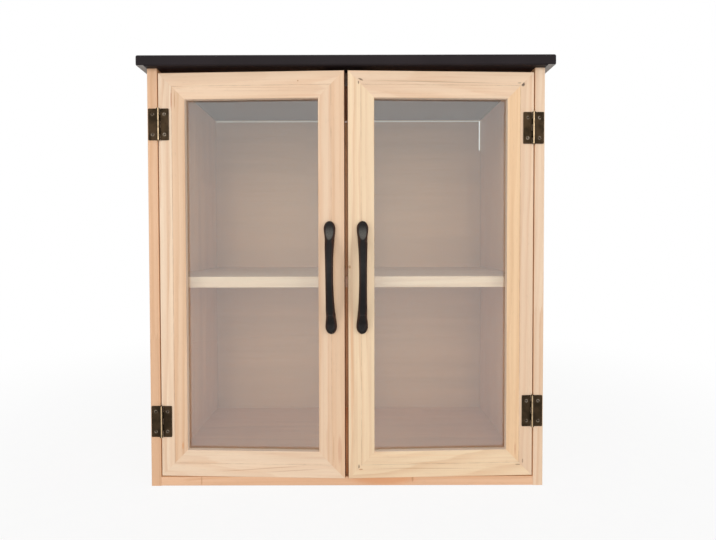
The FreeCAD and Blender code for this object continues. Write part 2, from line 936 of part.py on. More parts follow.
def case_nodes():
    """Every piece that stays with the case."""
    nodes = {
        "left_side_panel": side_panel("left"),
        "right_side_panel": side_panel("right"),
        "bottom_board": bottom_board(),
        "top_board": top_board(),
        "shelf": shelf(),
        "back_panel": back_panel(),
        "back_panel_screws": back_panel_screws(),
        "catch_housing": catch_housing(),
        "catch_magnets": Part.makeCompound([magnet_block(middle) for middle in magnet_stacks()]),
        "catch_pole_plates": Part.makeCompound(
            [pole_plate(middle, level) for middle in magnet_stacks() for level in (1, -1)]),
        "catch_screws": catch_screws(),
    }
    for name in case_dowel_groups():
        nodes[name] = case_dowels(name)
    screws = []
    for side in ("left", "right"):
        for level, middle in hinge_middles(side).items():
            leaf = cut_all(hinge_leaf(middle, -1), hinge_screw_holes(side, -1))
            pin = hinge_pin(middle)
            nodes[f"{side}_{level}_hinge_case_leaf"] = leaf if side == "left" else mirrored(leaf)
            nodes[f"{side}_{level}_hinge_pin"] = pin if side == "left" else mirrored(pin)
        pieces = hinge_screws(side, -1)
        screws += pieces if side == "left" else [mirrored(piece) for piece in pieces]
    nodes["hinge_case_screws"] = Part.makeCompound(screws)
    return nodes


def all_nodes():
    """Every node of the bookcase by name."""
    nodes = case_nodes()
    for side in ("left", "right"):
        for name, shape in door_nodes(side).items():
            swung = ajar(shape)
            nodes[f"{side}_door_{name}"] = swung if side == "left" else mirrored(swung)
    return nodes


os.makedirs("parts", exist_ok=True)
for node_name, node_shape in all_nodes().items():
    if not node_shape.isValid():
        print("not valid:", node_name)
    node_shape.exportStep(f"parts/{node_name}.step")
    print(node_name, len(node_shape.Solids), round(node_shape.Volume, 1))
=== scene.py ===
"""A two-door glazed bookcase in pale pine with a black top, dressed and lit.

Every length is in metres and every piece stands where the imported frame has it.
"""

import json
import logging
import math
from dataclasses import dataclass, field
from enum import Enum
from functools import cache
from typing import Mapping, Optional, Sequence, Union

import bmesh
import bpy
from mathutils import Matrix, Vector


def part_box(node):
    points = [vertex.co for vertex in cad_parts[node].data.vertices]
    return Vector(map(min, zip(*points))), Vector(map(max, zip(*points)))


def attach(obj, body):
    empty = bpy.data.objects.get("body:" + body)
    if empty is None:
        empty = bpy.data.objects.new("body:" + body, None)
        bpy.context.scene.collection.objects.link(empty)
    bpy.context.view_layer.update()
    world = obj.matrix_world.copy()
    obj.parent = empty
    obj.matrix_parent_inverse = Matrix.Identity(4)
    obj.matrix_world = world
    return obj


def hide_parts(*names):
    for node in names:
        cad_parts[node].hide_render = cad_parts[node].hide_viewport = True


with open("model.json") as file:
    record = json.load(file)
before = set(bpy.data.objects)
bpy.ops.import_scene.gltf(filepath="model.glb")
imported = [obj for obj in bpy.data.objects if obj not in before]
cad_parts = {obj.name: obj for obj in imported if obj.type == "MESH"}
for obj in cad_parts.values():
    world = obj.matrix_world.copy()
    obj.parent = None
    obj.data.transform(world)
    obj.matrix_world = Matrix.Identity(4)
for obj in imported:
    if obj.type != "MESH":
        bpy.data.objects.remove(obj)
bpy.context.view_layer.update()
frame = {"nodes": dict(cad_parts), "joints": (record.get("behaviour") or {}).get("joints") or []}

log = logging.getLogger("bookcase")

Triple = tuple[float, float, float]
Pair = tuple[float, float]
Colour = Triple
Tree = bpy.types.NodeTree
Outputs = bpy.types.NodeOutputs
Material = bpy.types.Material
Socket = bpy.types.NodeSocket
Feed = Union[Socket, float, Sequence[float]]


def tone(red: int, green: int, blue: int) -> Colour:
    """The linear colour of a tone given from 0 to 255, as a paint card gives it."""
    shares = (part / 255 for part in (red, green, blue))
    return tuple(part / 12.92 if part < 0.04 else ((part + 0.055) / 1.055) ** 2.4 for part in shares)


def dimmed(colour: Colour, share: float) -> Colour:
    """A colour times a share."""
    return tuple(part * share for part in colour)


# Palette

PALE_PINE = tone(236, 210, 182)
CREAM_PINE = tone(238, 211, 176)
WARM_PINE = tone(229, 195, 162)
HONEY_PINE = tone(237, 201, 160)
RUDDY_PINE = tone(226, 184, 148)
DEEP_PINE = tone(205, 152, 108)
BROWN_PINE = tone(176, 118, 74)
SOFT_PINE = tone(231, 201, 171)
ROSY_PINE = tone(235, 193, 158)
SHELF_PINE = tone(246, 214, 184)
# Painted shade: the back panel's inside face, darker than its outside face.
BACK_PAINTED_SHADE_PINE = tone(218, 172, 130)
# Painted light: the tone of the case's inner faces, set for how lit the inside of the case looks.
INNER_PAINTED_LIGHT_PINE = tone(236, 184, 138)
# Painted shade: the meeting stiles' edges in the gap between the doors.
GAP_PAINTED_SHADE_PINE = tone(120, 72, 40)
# Painted light: the door members' walls round the panes, near white.
RIM_PAINTED_LIGHT_PINE = tone(250, 234, 214)
BEECH = tone(214, 176, 138)
DEEP_BEECH = tone(176, 130, 92)
BLACK_PAINT = tone(32, 26, 28)
RAW_UNDERSIDE = tone(134, 106, 88)
# Painted reflection of the white studio under the top's side overhangs.
UNDERSIDE_REFLECTION_GREY = tone(156, 153, 150)
WORN_BROWN = tone(70, 48, 34)
BRONZE = tone(63, 50, 36)
BRONZE_SPOT = tone(47, 38, 27)
BRONZE_EDGE = tone(91, 73, 52)
# Painted shade in the screws' recesses.
BRONZE_RECESS_SHADE = tone(24, 18, 14)
# Worn brass and painted highlight along the hinge knuckles.
WORN_BRASS_GLINT = tone(200, 174, 138)
SCREW_RIM = tone(128, 116, 102)
CAST_BLACK = tone(17, 15, 14)
CAST_BROWN = tone(58, 32, 20)
# Painted highlight in the handle's upper scoop.
CAST_SHEEN_GREY = tone(93, 91, 86)
ZINC = tone(188, 190, 192)
CATCH_BROWN = tone(96, 70, 50)
FERRITE_GREY = tone(52, 51, 50)
SAP_ORANGE = tone(214, 142, 88)
SAP_RED = tone(196, 132, 100)
# Dirt, and painted shade in the moulding's step.
DIRT_AND_SHADE = tone(96, 68, 46)
DARK_DIRT = tone(52, 36, 26)


class Kind(Enum):
    """Kinds of socket on a node group."""

    NUMBER = "NodeSocketFloat"
    VECTOR = "NodeSocketVector"
    COLOUR = "NodeSocketColor"


class Grain(Enum):
    """Which axes run across, through and along a board's grain."""

    UPRIGHT = (0, 1, 2)
    CROSSWISE = (2, 1, 0)
    LEVEL = (1, 2, 0)
    PANEL = (1, 0, 2)


class Side(Enum):
    """The two doors, with the sign of X on their side."""

    LEFT = -1
    RIGHT = 1

    @property
    def word(self) -> str:
        """The side's name as the nodes have it."""
        return self.name.lower()


# Node trees

# Where Blender's mix node takes its factor and its two colours, and gives the result
MIX_INPUTS = (0, 6, 7)
MIX_RESULT = 2


class Graph:
    """A node tree, with short calls that add nodes and join them."""

    def __init__(self, tree: Tree) -> None:
        """Keeps the tree that the nodes go into."""
        self.tree = tree

    def feed(self, socket: Socket, value: Feed) -> None:
        """Joins or sets an input socket.

        Args:
            socket: the input socket.
            value: an output socket to join, or a number or numbers to set.
        """
        if isinstance(value, Socket):
            self.tree.links.new(value, socket)
        elif isinstance(value, (int, float)):
            socket.default_value = value
        else:
            spare = len(socket.default_value) - len(value)
            socket.default_value = (*value, *[1.0] * spare)

    def node(
        self, kind: str, inputs: Optional[Mapping[Union[str, int], Feed]] = None, **settings: object
    ) -> bpy.types.Node:
        """Adds a node.

        Args:
            kind: the node's type in Blender.
            inputs: what feeds its inputs, by name or place.
            settings: the node's own settings.

        Returns:
            The new node.
        """
        made = self.tree.nodes.new(kind)
        for name, value in settings.items():
            setattr(made, name, value)
        for key, value in (inputs or {}).items():
            self.feed(made.inputs[key], value)
        return made

    def math(self, operation: str, *values: Feed, clamp: bool = False) -> Socket:
        """The result of a sum on numbers."""
        inputs = dict(enumerate(values))
        return self.node("ShaderNodeMath", inputs, operation=operation, use_clamp=clamp).outputs[0]

    def times(self, first: Feed, *others: Feed) -> Socket:
        """The product of numbers."""
        for other in others:
            first = self.math("MULTIPLY", first, other)
        return first

    def line(self, value: Feed, rise: Feed, start: Feed) -> Socket:
        """A value times a rise, on top of a start."""
        return self.math("MULTIPLY_ADD", value, rise, start)

    def less(self, first: Feed, second: Feed) -> Socket:
        """The first number less the second."""
        return self.math("SUBTRACT", first, second)

    def vector(self, operation: str, *values: Feed, output: str = "Vector") -> Socket:
        """The result of a sum on vectors."""
        inputs = dict(enumerate(values))
        return self.node("ShaderNodeVectorMath", inputs, operation=operation).outputs[output]

    def length(self, value: Feed) -> Socket:
        """The length of a vector."""
        return self.vector("LENGTH", value, output="Value")

    def split(self, value: Feed) -> tuple[Socket, ...]:
        """The X, Y and Z of a vector."""
        return tuple(self.node("ShaderNodeSeparateXYZ", {0: value}).outputs)

    def join(self, x: Feed, y: Feed, z: Feed) -> Socket:
        """A vector of three numbers."""
        return self.node("ShaderNodeCombineXYZ", {0: x, 1: y, 2: z}).outputs[0]

    def noise(self, place: Feed, scale: Feed = 1.0, detail: float = 2.0) -> Socket:
        """Soft noise from about 0.2 to 0.8 at a place."""
        inputs = {"Vector": place, "Scale": scale, "Detail": detail}
        return self.node("ShaderNodeTexNoise", inputs).outputs["Fac"]

    def ramp(self, value: Feed, low: Feed, high: Feed, start: float = 0.0, end: float = 1.0) -> Socket:
        """A result that goes smoothly from start to end as a value goes from low to high."""
        inputs = {"Value": value, "From Min": low, "From Max": high, "To Min": start, "To Max": end}
        return self.node("ShaderNodeMapRange", inputs, interpolation_type="SMOOTHSTEP").outputs["Result"]

    def blend(self, share: Feed, first: Feed, second: Feed, mode: str = "MIX") -> Socket:
        """Two colours blended by a share."""
        made = self.node("ShaderNodeMix", data_type="RGBA", blend_type=mode)
        for place, value in zip(MIX_INPUTS, (share, first, second)):
            self.feed(made.inputs[place], value)
        return made.outputs[MIX_RESULT]

    def tint(self, colour: Feed, other: Feed, mask: Feed, share: float) -> Socket:
        """A colour with a share of another one where a mask is."""
        return self.blend(self.times(mask, share), colour, other)

    def effect(self, group: Tree, inputs: Mapping[str, Feed]) -> Outputs:
        """The outputs of a shared effect that is placed with its own values, by name."""
        return self.node("ShaderNodeGroup", inputs, node_tree=group).outputs


class Effect(Graph):
    """A shader node group with named inputs and outputs, open for building."""

    def __init__(self, name: str, inputs: Mapping[str, Kind], outputs: Mapping[str, Kind]) -> None:
        """Makes the empty group.

        Args:
            name: the effect's name.
            inputs: kind of each input by name.
            outputs: kind of each output by name.
        """
        super().__init__(bpy.data.node_groups.new(name, "ShaderNodeTree"))
        for way, sockets in (("INPUT", inputs), ("OUTPUT", outputs)):
            for label, kind in sockets.items():
                self.tree.interface.new_socket(label, in_out=way, socket_type=kind.value)
        self.given = self.node("NodeGroupInput").outputs
        self.result = self.node("NodeGroupOutput").inputs

    def give(self, results: Mapping[str, Feed]) -> Tree:
        """Feeds the outputs by name and hands over the finished group."""
        for name, value in results.items():
            self.feed(self.result[name], value)
        return self.tree


# Steps that keep the seeds of neighbouring boards, years, strips and blocks apart
BOARD_STEP = 3.7
YEAR_STEP = 0.73
STRIP_STEP = 7.31
BLOCK_STEP = 3.17

RAGGED_SCALE = 900.0
RING_INPUTS = ("Seed", "Pith Across", "Pith Depth", "Tilt", "Spacing", "Wander")
RING_MASKS = ("Latewood", "Fibre", "Pores", "Tone", "Stripe")
BLOCK_INPUTS = ("Strip Width", "Block Length", "Finger Pitch", "Finger Depth")


def numbers(*names: str) -> dict[str, Kind]:
    """Sockets for numbers, by name."""
    return dict.fromkeys(names, Kind.NUMBER)


def fields_of(piece: object, *names: str) -> dict[str, Feed]:
    """What a dataclass feeds to an effect's inputs, by their names."""
    return {name: getattr(piece, name.lower().replace(" ", "_")) for name in names}


@cache
def growth_rings() -> Tree:
    """Growth rings round a pith line, with fibres, pores and broad changes of tone.

    Returns:
        The group. Its Position runs across, through and along the grain.
    """
    inputs = {"Position": Kind.VECTOR, **numbers(*RING_INPUTS)}
    group = Effect("growth_rings", inputs, numbers(*RING_MASKS))
    given = group.given
    across, through, along = group.split(given["Position"])
    start = group.times(given["Seed"], BOARD_STEP)

    def sample(width: float, run: float, detail: float = 2.0) -> Socket:
        """Noise in cells of a width across the grain and a run along it."""
        cells = ((across, width), (through, width), (along, run))
        place = group.join(*(group.line(way, 1 / size, start) for way, size in cells))
        return group.noise(place, detail=detail)

    aside = group.less(group.less(across, given["Pith Across"]), group.times(given["Tilt"], along))
    below = group.less(through, given["Pith Depth"])
    radius = group.length(group.join(aside, below, 0.0))
    drift = group.less(sample(0.045, 0.45), 0.5)
    ripple = group.less(sample(0.012, 0.10), 0.5)
    bent = group.line(group.line(ripple, 0.22, drift), given["Wander"], radius)
    turn = group.math("DIVIDE", bent, given["Spacing"])
    share = group.math("FRACT", turn)
    year = group.join(group.line(group.math("FLOOR", turn), YEAR_STEP, start), start, 0.5)
    vigour = group.ramp(group.noise(year, detail=0.0), 0.3, 0.7, 0.35, 1.0)
    band = group.times(group.ramp(share, 0.3, 0.88), group.ramp(share, 0.9, 1.0, 1.0, 0.0))
    return group.give({
        "Latewood": group.times(band, vigour),
        "Fibre": sample(0.0007, 0.03, 3.0),
        "Pores": group.ramp(sample(0.0011, 0.011, 1.0), 0.63, 0.74),
        "Tone": sample(0.022, 0.30, 3.0),
        "Stripe": sample(0.0042, 0.55, 3.0),
    })


@cache
def timber_colour() -> Tree:
    """Colour and relief of timber from its rings, fibres, pores and tone.

    Returns:
        The group.
    """
    inputs = numbers(*RING_MASKS, "End Grain", "Ring Share", "Stripe Share")
    inputs |= {"Pale": Kind.COLOUR, "Deep": Kind.COLOUR}
    group = Effect("timber_colour", inputs, {"Colour": Kind.COLOUR, "Height": Kind.NUMBER})
    given = group.given
    rings = group.times(given["Latewood"], given["Ring Share"])
    stripes = group.times(group.ramp(given["Stripe"], 0.42, 0.75), given["Stripe Share"])
    colour = group.blend(group.math("ADD", rings, stripes, clamp=True), given["Pale"], given["Deep"])
    level: Feed = 1.0
    for mask, swing in (("Tone", 0.22), ("Fibre", 0.07)):
        level = group.line(group.less(given[mask], 0.5), swing, level)
    for mask, drop in (("Pores", -0.06), ("End Grain", -0.14)):
        level = group.line(given[mask], drop, level)
    relief = group.line(given["Latewood"], 0.35, group.times(given["Fibre"], 0.5))
    return group.give({
        "Colour": group.blend(1.0, colour, group.join(level, level, level), "MULTIPLY"),
        "Height": group.line(given["Pores"], -0.4, relief),
    })


@cache
def glued_blocks() -> Tree:
    """Boards glued up from strips of finger-jointed blocks.

    Returns:
        The group. Shift moves each block to its own part of the tree.
    """
    inputs = {"Position": Kind.VECTOR, **numbers(*BLOCK_INPUTS, "Seed")}
    group = Effect("glued_blocks", inputs, {"Shift": Kind.VECTOR, **numbers("Tone", "Glue Line")})
    given = group.given
    across, through, along = group.split(given["Position"])

    def counted(place: Socket, size: Socket) -> Socket:
        """How many sizes fit up to a place, from well outside the board."""
        return group.math("DIVIDE", group.math("ADD", place, 5.0), size)

    def chance(number: Socket) -> Outputs:
        """A random value and colour for a number."""
        return group.node("ShaderNodeTexWhiteNoise", {"W": number}, noise_dimensions="1D").outputs

    def seam(count: Socket, size: Socket, width: float) -> Socket:
        """A line of a width where a strip or a block ends."""
        away = group.times(group.math("PINGPONG", count, 0.5), size)
        return group.ramp(away, 0.0, width, 1.0, 0.0)

    strips = counted(across, given["Strip Width"])
    seeded = group.line(group.math("FLOOR", strips), STRIP_STEP, given["Seed"])
    teeth = group.math("PINGPONG", group.math("DIVIDE", through, given["Finger Pitch"]), 0.5)
    run = group.line(teeth, group.times(given["Finger Depth"], 2.0), along)
    run = group.line(chance(seeded)["Value"], given["Block Length"], run)
    blocks = counted(run, given["Block Length"])
    drawn = chance(group.line(group.math("FLOOR", blocks), BLOCK_STEP, seeded))
    centred = group.vector("SUBTRACT", drawn["Color"], (0.5,) * 3)
    lines = (seam(strips, given["Strip Width"], 0.0004), seam(blocks, given["Block Length"], 0.0005))
    return group.give({
        "Shift": group.vector("MULTIPLY", centred, (0.09, 0.05, 2.0)),
        "Tone": drawn["Value"],
        "Glue Line": group.math("MAXIMUM", *lines),
    })


@cache
def soft_spot() -> Tree:
    """A soft-edged spot or stroke round a centre, slightly ragged.

    Returns:
        The group. Slope leans a stroke: its rise in Z for each step in X.
    """
    inputs = dict.fromkeys(("Position", "Centre", "Reach"), Kind.VECTOR) | numbers("Slope", "Ragged")
    group = Effect("soft_spot", inputs, numbers("Mask"))
    given = group.given
    x, y, z = group.split(group.vector("SUBTRACT", given["Position"], given["Centre"]))
    level = group.less(z, group.times(x, given["Slope"]))
    share = group.vector("DIVIDE", group.join(x, y, level), given["Reach"])
    rough = group.less(group.noise(given["Position"], RAGGED_SCALE), 0.5)
    distance = group.line(rough, given["Ragged"], group.length(share))
    return group.give({"Mask": group.ramp(distance, 0.45, 1.0, 1.0, 0.0)})


@cache
def worn_edges() -> Tree:
    """A mask along the edges of a piece, broken up as handling breaks it.

    Returns:
        The group.
    """
    inputs = {"Position": Kind.VECTOR, **numbers("Width", "Break Up")}
    group = Effect("worn_edges", inputs, numbers("Mask"))
    given = group.given
    soft = group.node("ShaderNodeBevel", {"Radius": given["Width"]}, samples=4).outputs["Normal"]
    plain = group.node("ShaderNodeNewGeometry").outputs["Normal"]
    facing = group.vector("DOT_PRODUCT", soft, plain, output="Value")
    edge = group.ramp(group.less(1.0, facing), 0.01, 0.16)
    breaks = group.noise(given["Position"], given["Break Up"], 3.0)
    return group.give({"Mask": group.times(edge, group.ramp(breaks, 0.42, 0.62))})


@cache
def mottle() -> Tree:
    """Cloudy patches and fine specks, for cast, plated and painted metal.

    Returns:
        The group.
    """
    inputs = {"Position": Kind.VECTOR, **numbers("Patch Size", "Speck Size")}
    group = Effect("mottle", inputs, numbers("Patches", "Specks", "Height"))

    def cells(size: str, detail: float) -> Socket:
        """Noise in cells of a size that is given by name."""
        scale = group.math("DIVIDE", 1.0, group.given[size])
        return group.noise(group.given["Position"], scale, detail)

    patches = cells("Patch Size", 3.0)
    specks = cells("Speck Size", 2.0)
    return group.give({
        "Patches": group.ramp(patches, 0.36, 0.64),
        "Specks": group.ramp(specks, 0.56, 0.70),
        "Height": group.line(patches, 0.6, specks),
    })


# Finishes

class Surface(Graph):
    """A material being made, with its Principled BSDF and its place on the piece."""

    def __init__(self, name: str) -> None:
        """Makes the material with a plain shader.

        Args:
            name: the material's name.
        """
        self.material = bpy.data.materials.new(name)
        self.material.use_nodes = True
        super().__init__(self.material.node_tree)
        self.shader = self.tree.nodes["Principled BSDF"]
        coordinates = self.node("ShaderNodeTexCoord").outputs
        self.place = coordinates["Object"]
        self.facing = coordinates["Normal"]

    def dress(self, inputs: Mapping[str, Feed]) -> None:
        """Sets the shader's own inputs by name."""
        for name, value in inputs.items():
            self.feed(self.shader.inputs[name], value)

    def mixed(self, share: Feed, first: Socket, second: Socket) -> Socket:
        """Two shaders mixed by a share."""
        return self.node("ShaderNodeMixShader", {0: share, 1: first, 2: second}).outputs[0]

    def show(self, shader: Socket) -> None:
        """Makes a shader the material's surface."""
        self.feed(self.tree.nodes["Material Output"].inputs["Surface"], shader)

    def relief(self, height: Feed, depth: float) -> None:
        """Gives the shader fine relief, in which a height of 1 is so many metres deep."""
        inputs = {"Height": height, "Distance": depth, "Strength": 1.0}
        self.dress({"Normal": self.node("ShaderNodeBump", inputs).outputs["Normal"]})

    def toward(self, way: Sequence[float]) -> Socket:
        """A mask of the faces that look one way."""
        return self.ramp(self.vector("DOT_PRODUCT", self.facing, way, output="Value"), 0.6, 0.9)

    def worn(self, width: float, break_up: float) -> Socket:
        """A mask of edges worn over a width, broken up so many times in a metre."""
        inputs = {"Position": self.place, "Width": width, "Break Up": break_up}
        return self.effect(worn_edges(), inputs)["Mask"]

    def mottled(self, patch: float, speck: float) -> Outputs:
        """Patches and specks of two sizes."""
        inputs = {"Position": self.place, "Patch Size": patch, "Speck Size": speck}
        return self.effect(mottle(), inputs)

    def mark(self, mark: "Mark") -> Socket:
        """The mask of one mark on the piece."""
        inputs = fields_of(mark, "Centre", "Reach", "Slope", "Ragged")
        return self.effect(soft_spot(), {"Position": self.place, **inputs})["Mask"]


@dataclass(frozen=True)
class Mark:
    """A spot, streak or dent, by its centre and how far it reaches each way."""

    centre: Triple
    reach: Triple
    colour: Colour
    share: float = 0.6
    slope: float = 0.0
    ragged: float = 0.5
    sunk: float = 0.0


@dataclass(frozen=True)
class Band:
    """The moulded inner band of a door member, which takes another tone past its edge."""

    edge: float
    inward: int
    colour: Colour
    # line: share of the dark line at the step, dirt and painted shade.
    line: float = 0.24
    line_width: float = 0.0005


@dataclass(frozen=True)
class Blocks:
    """How a wide board is glued up."""

    strip_width: float = 0.072
    block_length: float = 0.42
    finger_pitch: float = 0.0042
    finger_depth: float = 0.011
    tone_share: float = 0.5


@dataclass(frozen=True)
class Board:
    """One piece of timber: where its rings lie and how it is coloured."""

    grain: Grain
    seed: int
    pale: Colour = PALE_PINE
    deep: Colour = DEEP_PINE
    pith_across: float = 0.03
    pith_depth: float = 0.09
    tilt: float = 0.01
    spacing: float = 0.0046
    wander: float = 0.012
    ring_share: float = 0.30
    stripe_share: float = 0.22
    blocks: Optional[Blocks] = None
    band: Optional[Band] = None
    marks: tuple[Mark, ...] = ()
    # A face that looks this way takes the tone below instead: painted light and painted shade.
    shaded: Optional[Triple] = None
    shade: Colour = GAP_PAINTED_SHADE_PINE


@dataclass(frozen=True)
class TimberFinish:
    """Planed timber under a thin satin lacquer."""

    roughness: float = 0.46
    gloss_spread: float = 0.12
    specular: float = 0.35
    coat: float = 0.08
    coat_roughness: float = 0.3
    relief_depth: float = 0.00008
    edge_width: float = 0.0008
    edge_break_up: float = 70.0
    edge_share: float = 0.22
    glue_share: float = 0.35
    # How finely the step's line of dirt and painted shade breaks up.
    dirt_scale: float = 60.0

    def material(self, name: str, board: Board, centre: Vector) -> Material:
        """Makes the material of one board.

        Args:
            name: the piece's name.
            board: where its rings lie and how it is coloured.
            centre: the middle of the piece.

        Returns:
            The material.
        """
        surface = Surface(f"{name}_timber")
        axes = board.grain.value
        local = surface.split(surface.vector("SUBTRACT", surface.place, centre))
        place = surface.join(*(local[axis] for axis in axes))
        end = surface.ramp(surface.math("ABSOLUTE", surface.split(surface.facing)[axes[2]]), 0.6, 0.95)
        pale: Feed = board.pale
        glue: Feed = 0.0
        # Painted light and shade: faces that look one way take their own tone.
        if board.shaded:
            pale = surface.blend(surface.toward(board.shaded), board.pale, board.shade)
        if board.blocks:
            inputs = fields_of(board.blocks, *BLOCK_INPUTS) | {"Position": place, "Seed": board.seed}
            blocks = surface.effect(glued_blocks(), inputs)
            pale = surface.tint(pale, board.deep, blocks["Tone"], board.blocks.tone_share)
            glue = blocks["Glue Line"]
            place = surface.vector("ADD", place, blocks["Shift"])
        if board.band:
            pale, line = self._band(surface, board, pale)
        inputs = fields_of(board, *RING_INPUTS)
        rings = surface.effect(growth_rings(), {"Position": place, **inputs})
        inputs = fields_of(board, "Deep", "Ring Share", "Stripe Share")
        inputs |= {mask: rings[mask] for mask in RING_MASKS}
        timber = surface.effect(timber_colour(), {**inputs, "End Grain": end, "Pale": pale})
        colour = surface.tint(timber["Colour"], BROWN_PINE, glue, self.glue_share)
        # The step's dark line: dirt and painted shade.
        if board.band:
            colour = surface.blend(line, colour, DIRT_AND_SHADE)
        edge = surface.worn(self.edge_width, self.edge_break_up)
        colour = surface.tint(colour, DEEP_PINE, edge, self.edge_share)
        height = timber["Height"]
        for mark in board.marks:
            mask = surface.mark(mark)
            colour = surface.tint(colour, mark.colour, mask, mark.share)
            if mark.sunk:
                height = surface.line(mask, -mark.sunk / self.relief_depth, height)
        gloss = surface.line(rings["Fibre"], self.gloss_spread, self.roughness - self.gloss_spread / 2)
        surface.dress({
            "Base Color": colour, "Roughness": gloss, "Specular IOR Level": self.specular,
            "Coat Weight": self.coat, "Coat Roughness": self.coat_roughness,
        })
        surface.relief(height, self.relief_depth)
        return surface.material

    def _band(self, surface: Surface, board: Board, pale: Feed) -> tuple[Socket, Socket]:
        """Gives the moulded band its own tone, and the step a dark line of dirt and painted shade.

        Args:
            surface: the material being made.
            board: the member.
            pale: the colour outside the band.

        Returns:
            The pale colour and the mask of the dark line of dirt and painted shade.
        """
        band = board.band
        width = band.line_width
        across = surface.split(surface.place)[board.grain.value[0]]
        past = surface.times(surface.less(across, band.edge), band.inward)
        inside = surface.ramp(past, -width / 2, width / 2)
        near = surface.ramp(surface.math("ABSOLUTE", past), width * 0.4, width * 1.5, 1.0, 0.0)
        breaks = surface.ramp(surface.noise(surface.place, self.dirt_scale), 0.35, 0.65, 0.3, 1.0)
        front = surface.ramp(surface.split(surface.facing)[1], -0.8, -0.3, 1.0, 0.0)
        line = surface.times(near, breaks, band.line, front)
        return surface.blend(surface.times(inside, front), pale, band.colour), line


@dataclass(frozen=True)
class PaintedTop:
    """Black satin paint on the top board, bare underneath inside the case, with painted light underneath:
    a grey painted reflection under the side overhangs and a pale strip over the back panel.
    """

    roughness: float = 0.5
    gloss_spread: float = 0.16
    raw_roughness: float = 0.35
    specular: float = 0.12
    brush_strokes: Triple = (9.0, 900.0, 900.0)
    cloud_scale: float = 14.0
    thin_paint: float = 1.3
    raw_streak: float = 0.86
    edge_width: float = 0.0012
    edge_break_up: float = 45.0
    edge_share: float = 0.2
    relief_depth: float = 0.00006

    def material(self, name: str, inner: Vector, outer: float) -> Material:
        """Makes the top board's material.

        Args:
            name: the piece's name.
            inner: half width and front of the bare part underneath, and the front of the back panel, past
                which the underside is pale as painted light leaking in at the back.
            outer: half the case's width, past which the underside is light grey, a painted reflection of
                the white studio.

        Returns:
            The material.
        """
        surface = Surface(f"{name}_paint")
        x, y, _ = surface.split(surface.place)
        down = surface.toward((0.0, 0.0, -1.0))
        aside = surface.math("ABSOLUTE", x)
        within = surface.math("LESS_THAN", aside, inner.x)
        bare = surface.times(down, within, surface.math("GREATER_THAN", y, inner.y))
        brush = surface.noise(surface.vector("MULTIPLY", surface.place, self.brush_strokes))
        cloud = surface.noise(surface.place, self.cloud_scale, 3.0)
        thin = dimmed(BLACK_PAINT, self.thin_paint)
        paint = surface.blend(surface.ramp(cloud, 0.35, 0.7), BLACK_PAINT, thin)
        edge = surface.worn(self.edge_width, self.edge_break_up)
        paint = surface.tint(paint, WORN_BROWN, edge, self.edge_share)
        # Painted reflection: under the side overhangs the black paint turns light grey.
        side_reflection = surface.times(down, surface.math("GREATER_THAN", aside, outer))
        paint = surface.blend(side_reflection, paint, UNDERSIDE_REFLECTION_GREY)
        streak = dimmed(RAW_UNDERSIDE, self.raw_streak)
        raw = surface.blend(surface.ramp(brush, 0.3, 0.7), RAW_UNDERSIDE, streak)
        # Painted light: over and behind the back panel the bare underside is pale, as light leaking in at
        # the back.
        raw = surface.blend(surface.math("GREATER_THAN", y, inner.z), raw, PALE_PINE)
        gloss = surface.line(cloud, self.gloss_spread, self.roughness - self.gloss_spread / 2)
        surface.dress({
            "Base Color": surface.blend(bare, paint, raw),
            "Roughness": surface.line(bare, self.raw_roughness, gloss),
            "Specular IOR Level": self.specular,
        })
        surface.relief(surface.line(cloud, 0.5, brush), self.relief_depth)
        return surface.material


@dataclass(frozen=True)
class ClearGlass:
    """Thin clear float glass that mirrors the white studio, with faint smears."""

    ior: float = 2.08
    edge_tint: Colour = tone(238, 246, 242)
    smear_scale: float = 22.0
    smear_roughness: float = 0.035

    def material(self, name: str) -> Material:
        """Makes the pane's material.

        Args:
            name: the piece's name.

        Returns:
            The material.
        """
        surface = Surface(f"{name}_clear")
        smear = surface.noise(surface.place, self.smear_scale, 4.0)
        smear = surface.ramp(smear, 0.45, 0.75, 0.0, self.smear_roughness)
        surface.dress({
            "Base Color": self.edge_tint, "Roughness": smear, "IOR": self.ior, "Transmission Weight": 1.0,
        })
        path = surface.node("ShaderNodeLightPath").outputs
        open_way = surface.node("ShaderNodeBsdfTransparent").outputs[0]
        soft = surface.mixed(path["Is Diffuse Ray"], surface.shader.outputs[0], open_way)
        surface.show(surface.mixed(path["Is Shadow Ray"], soft, open_way))
        return surface.material


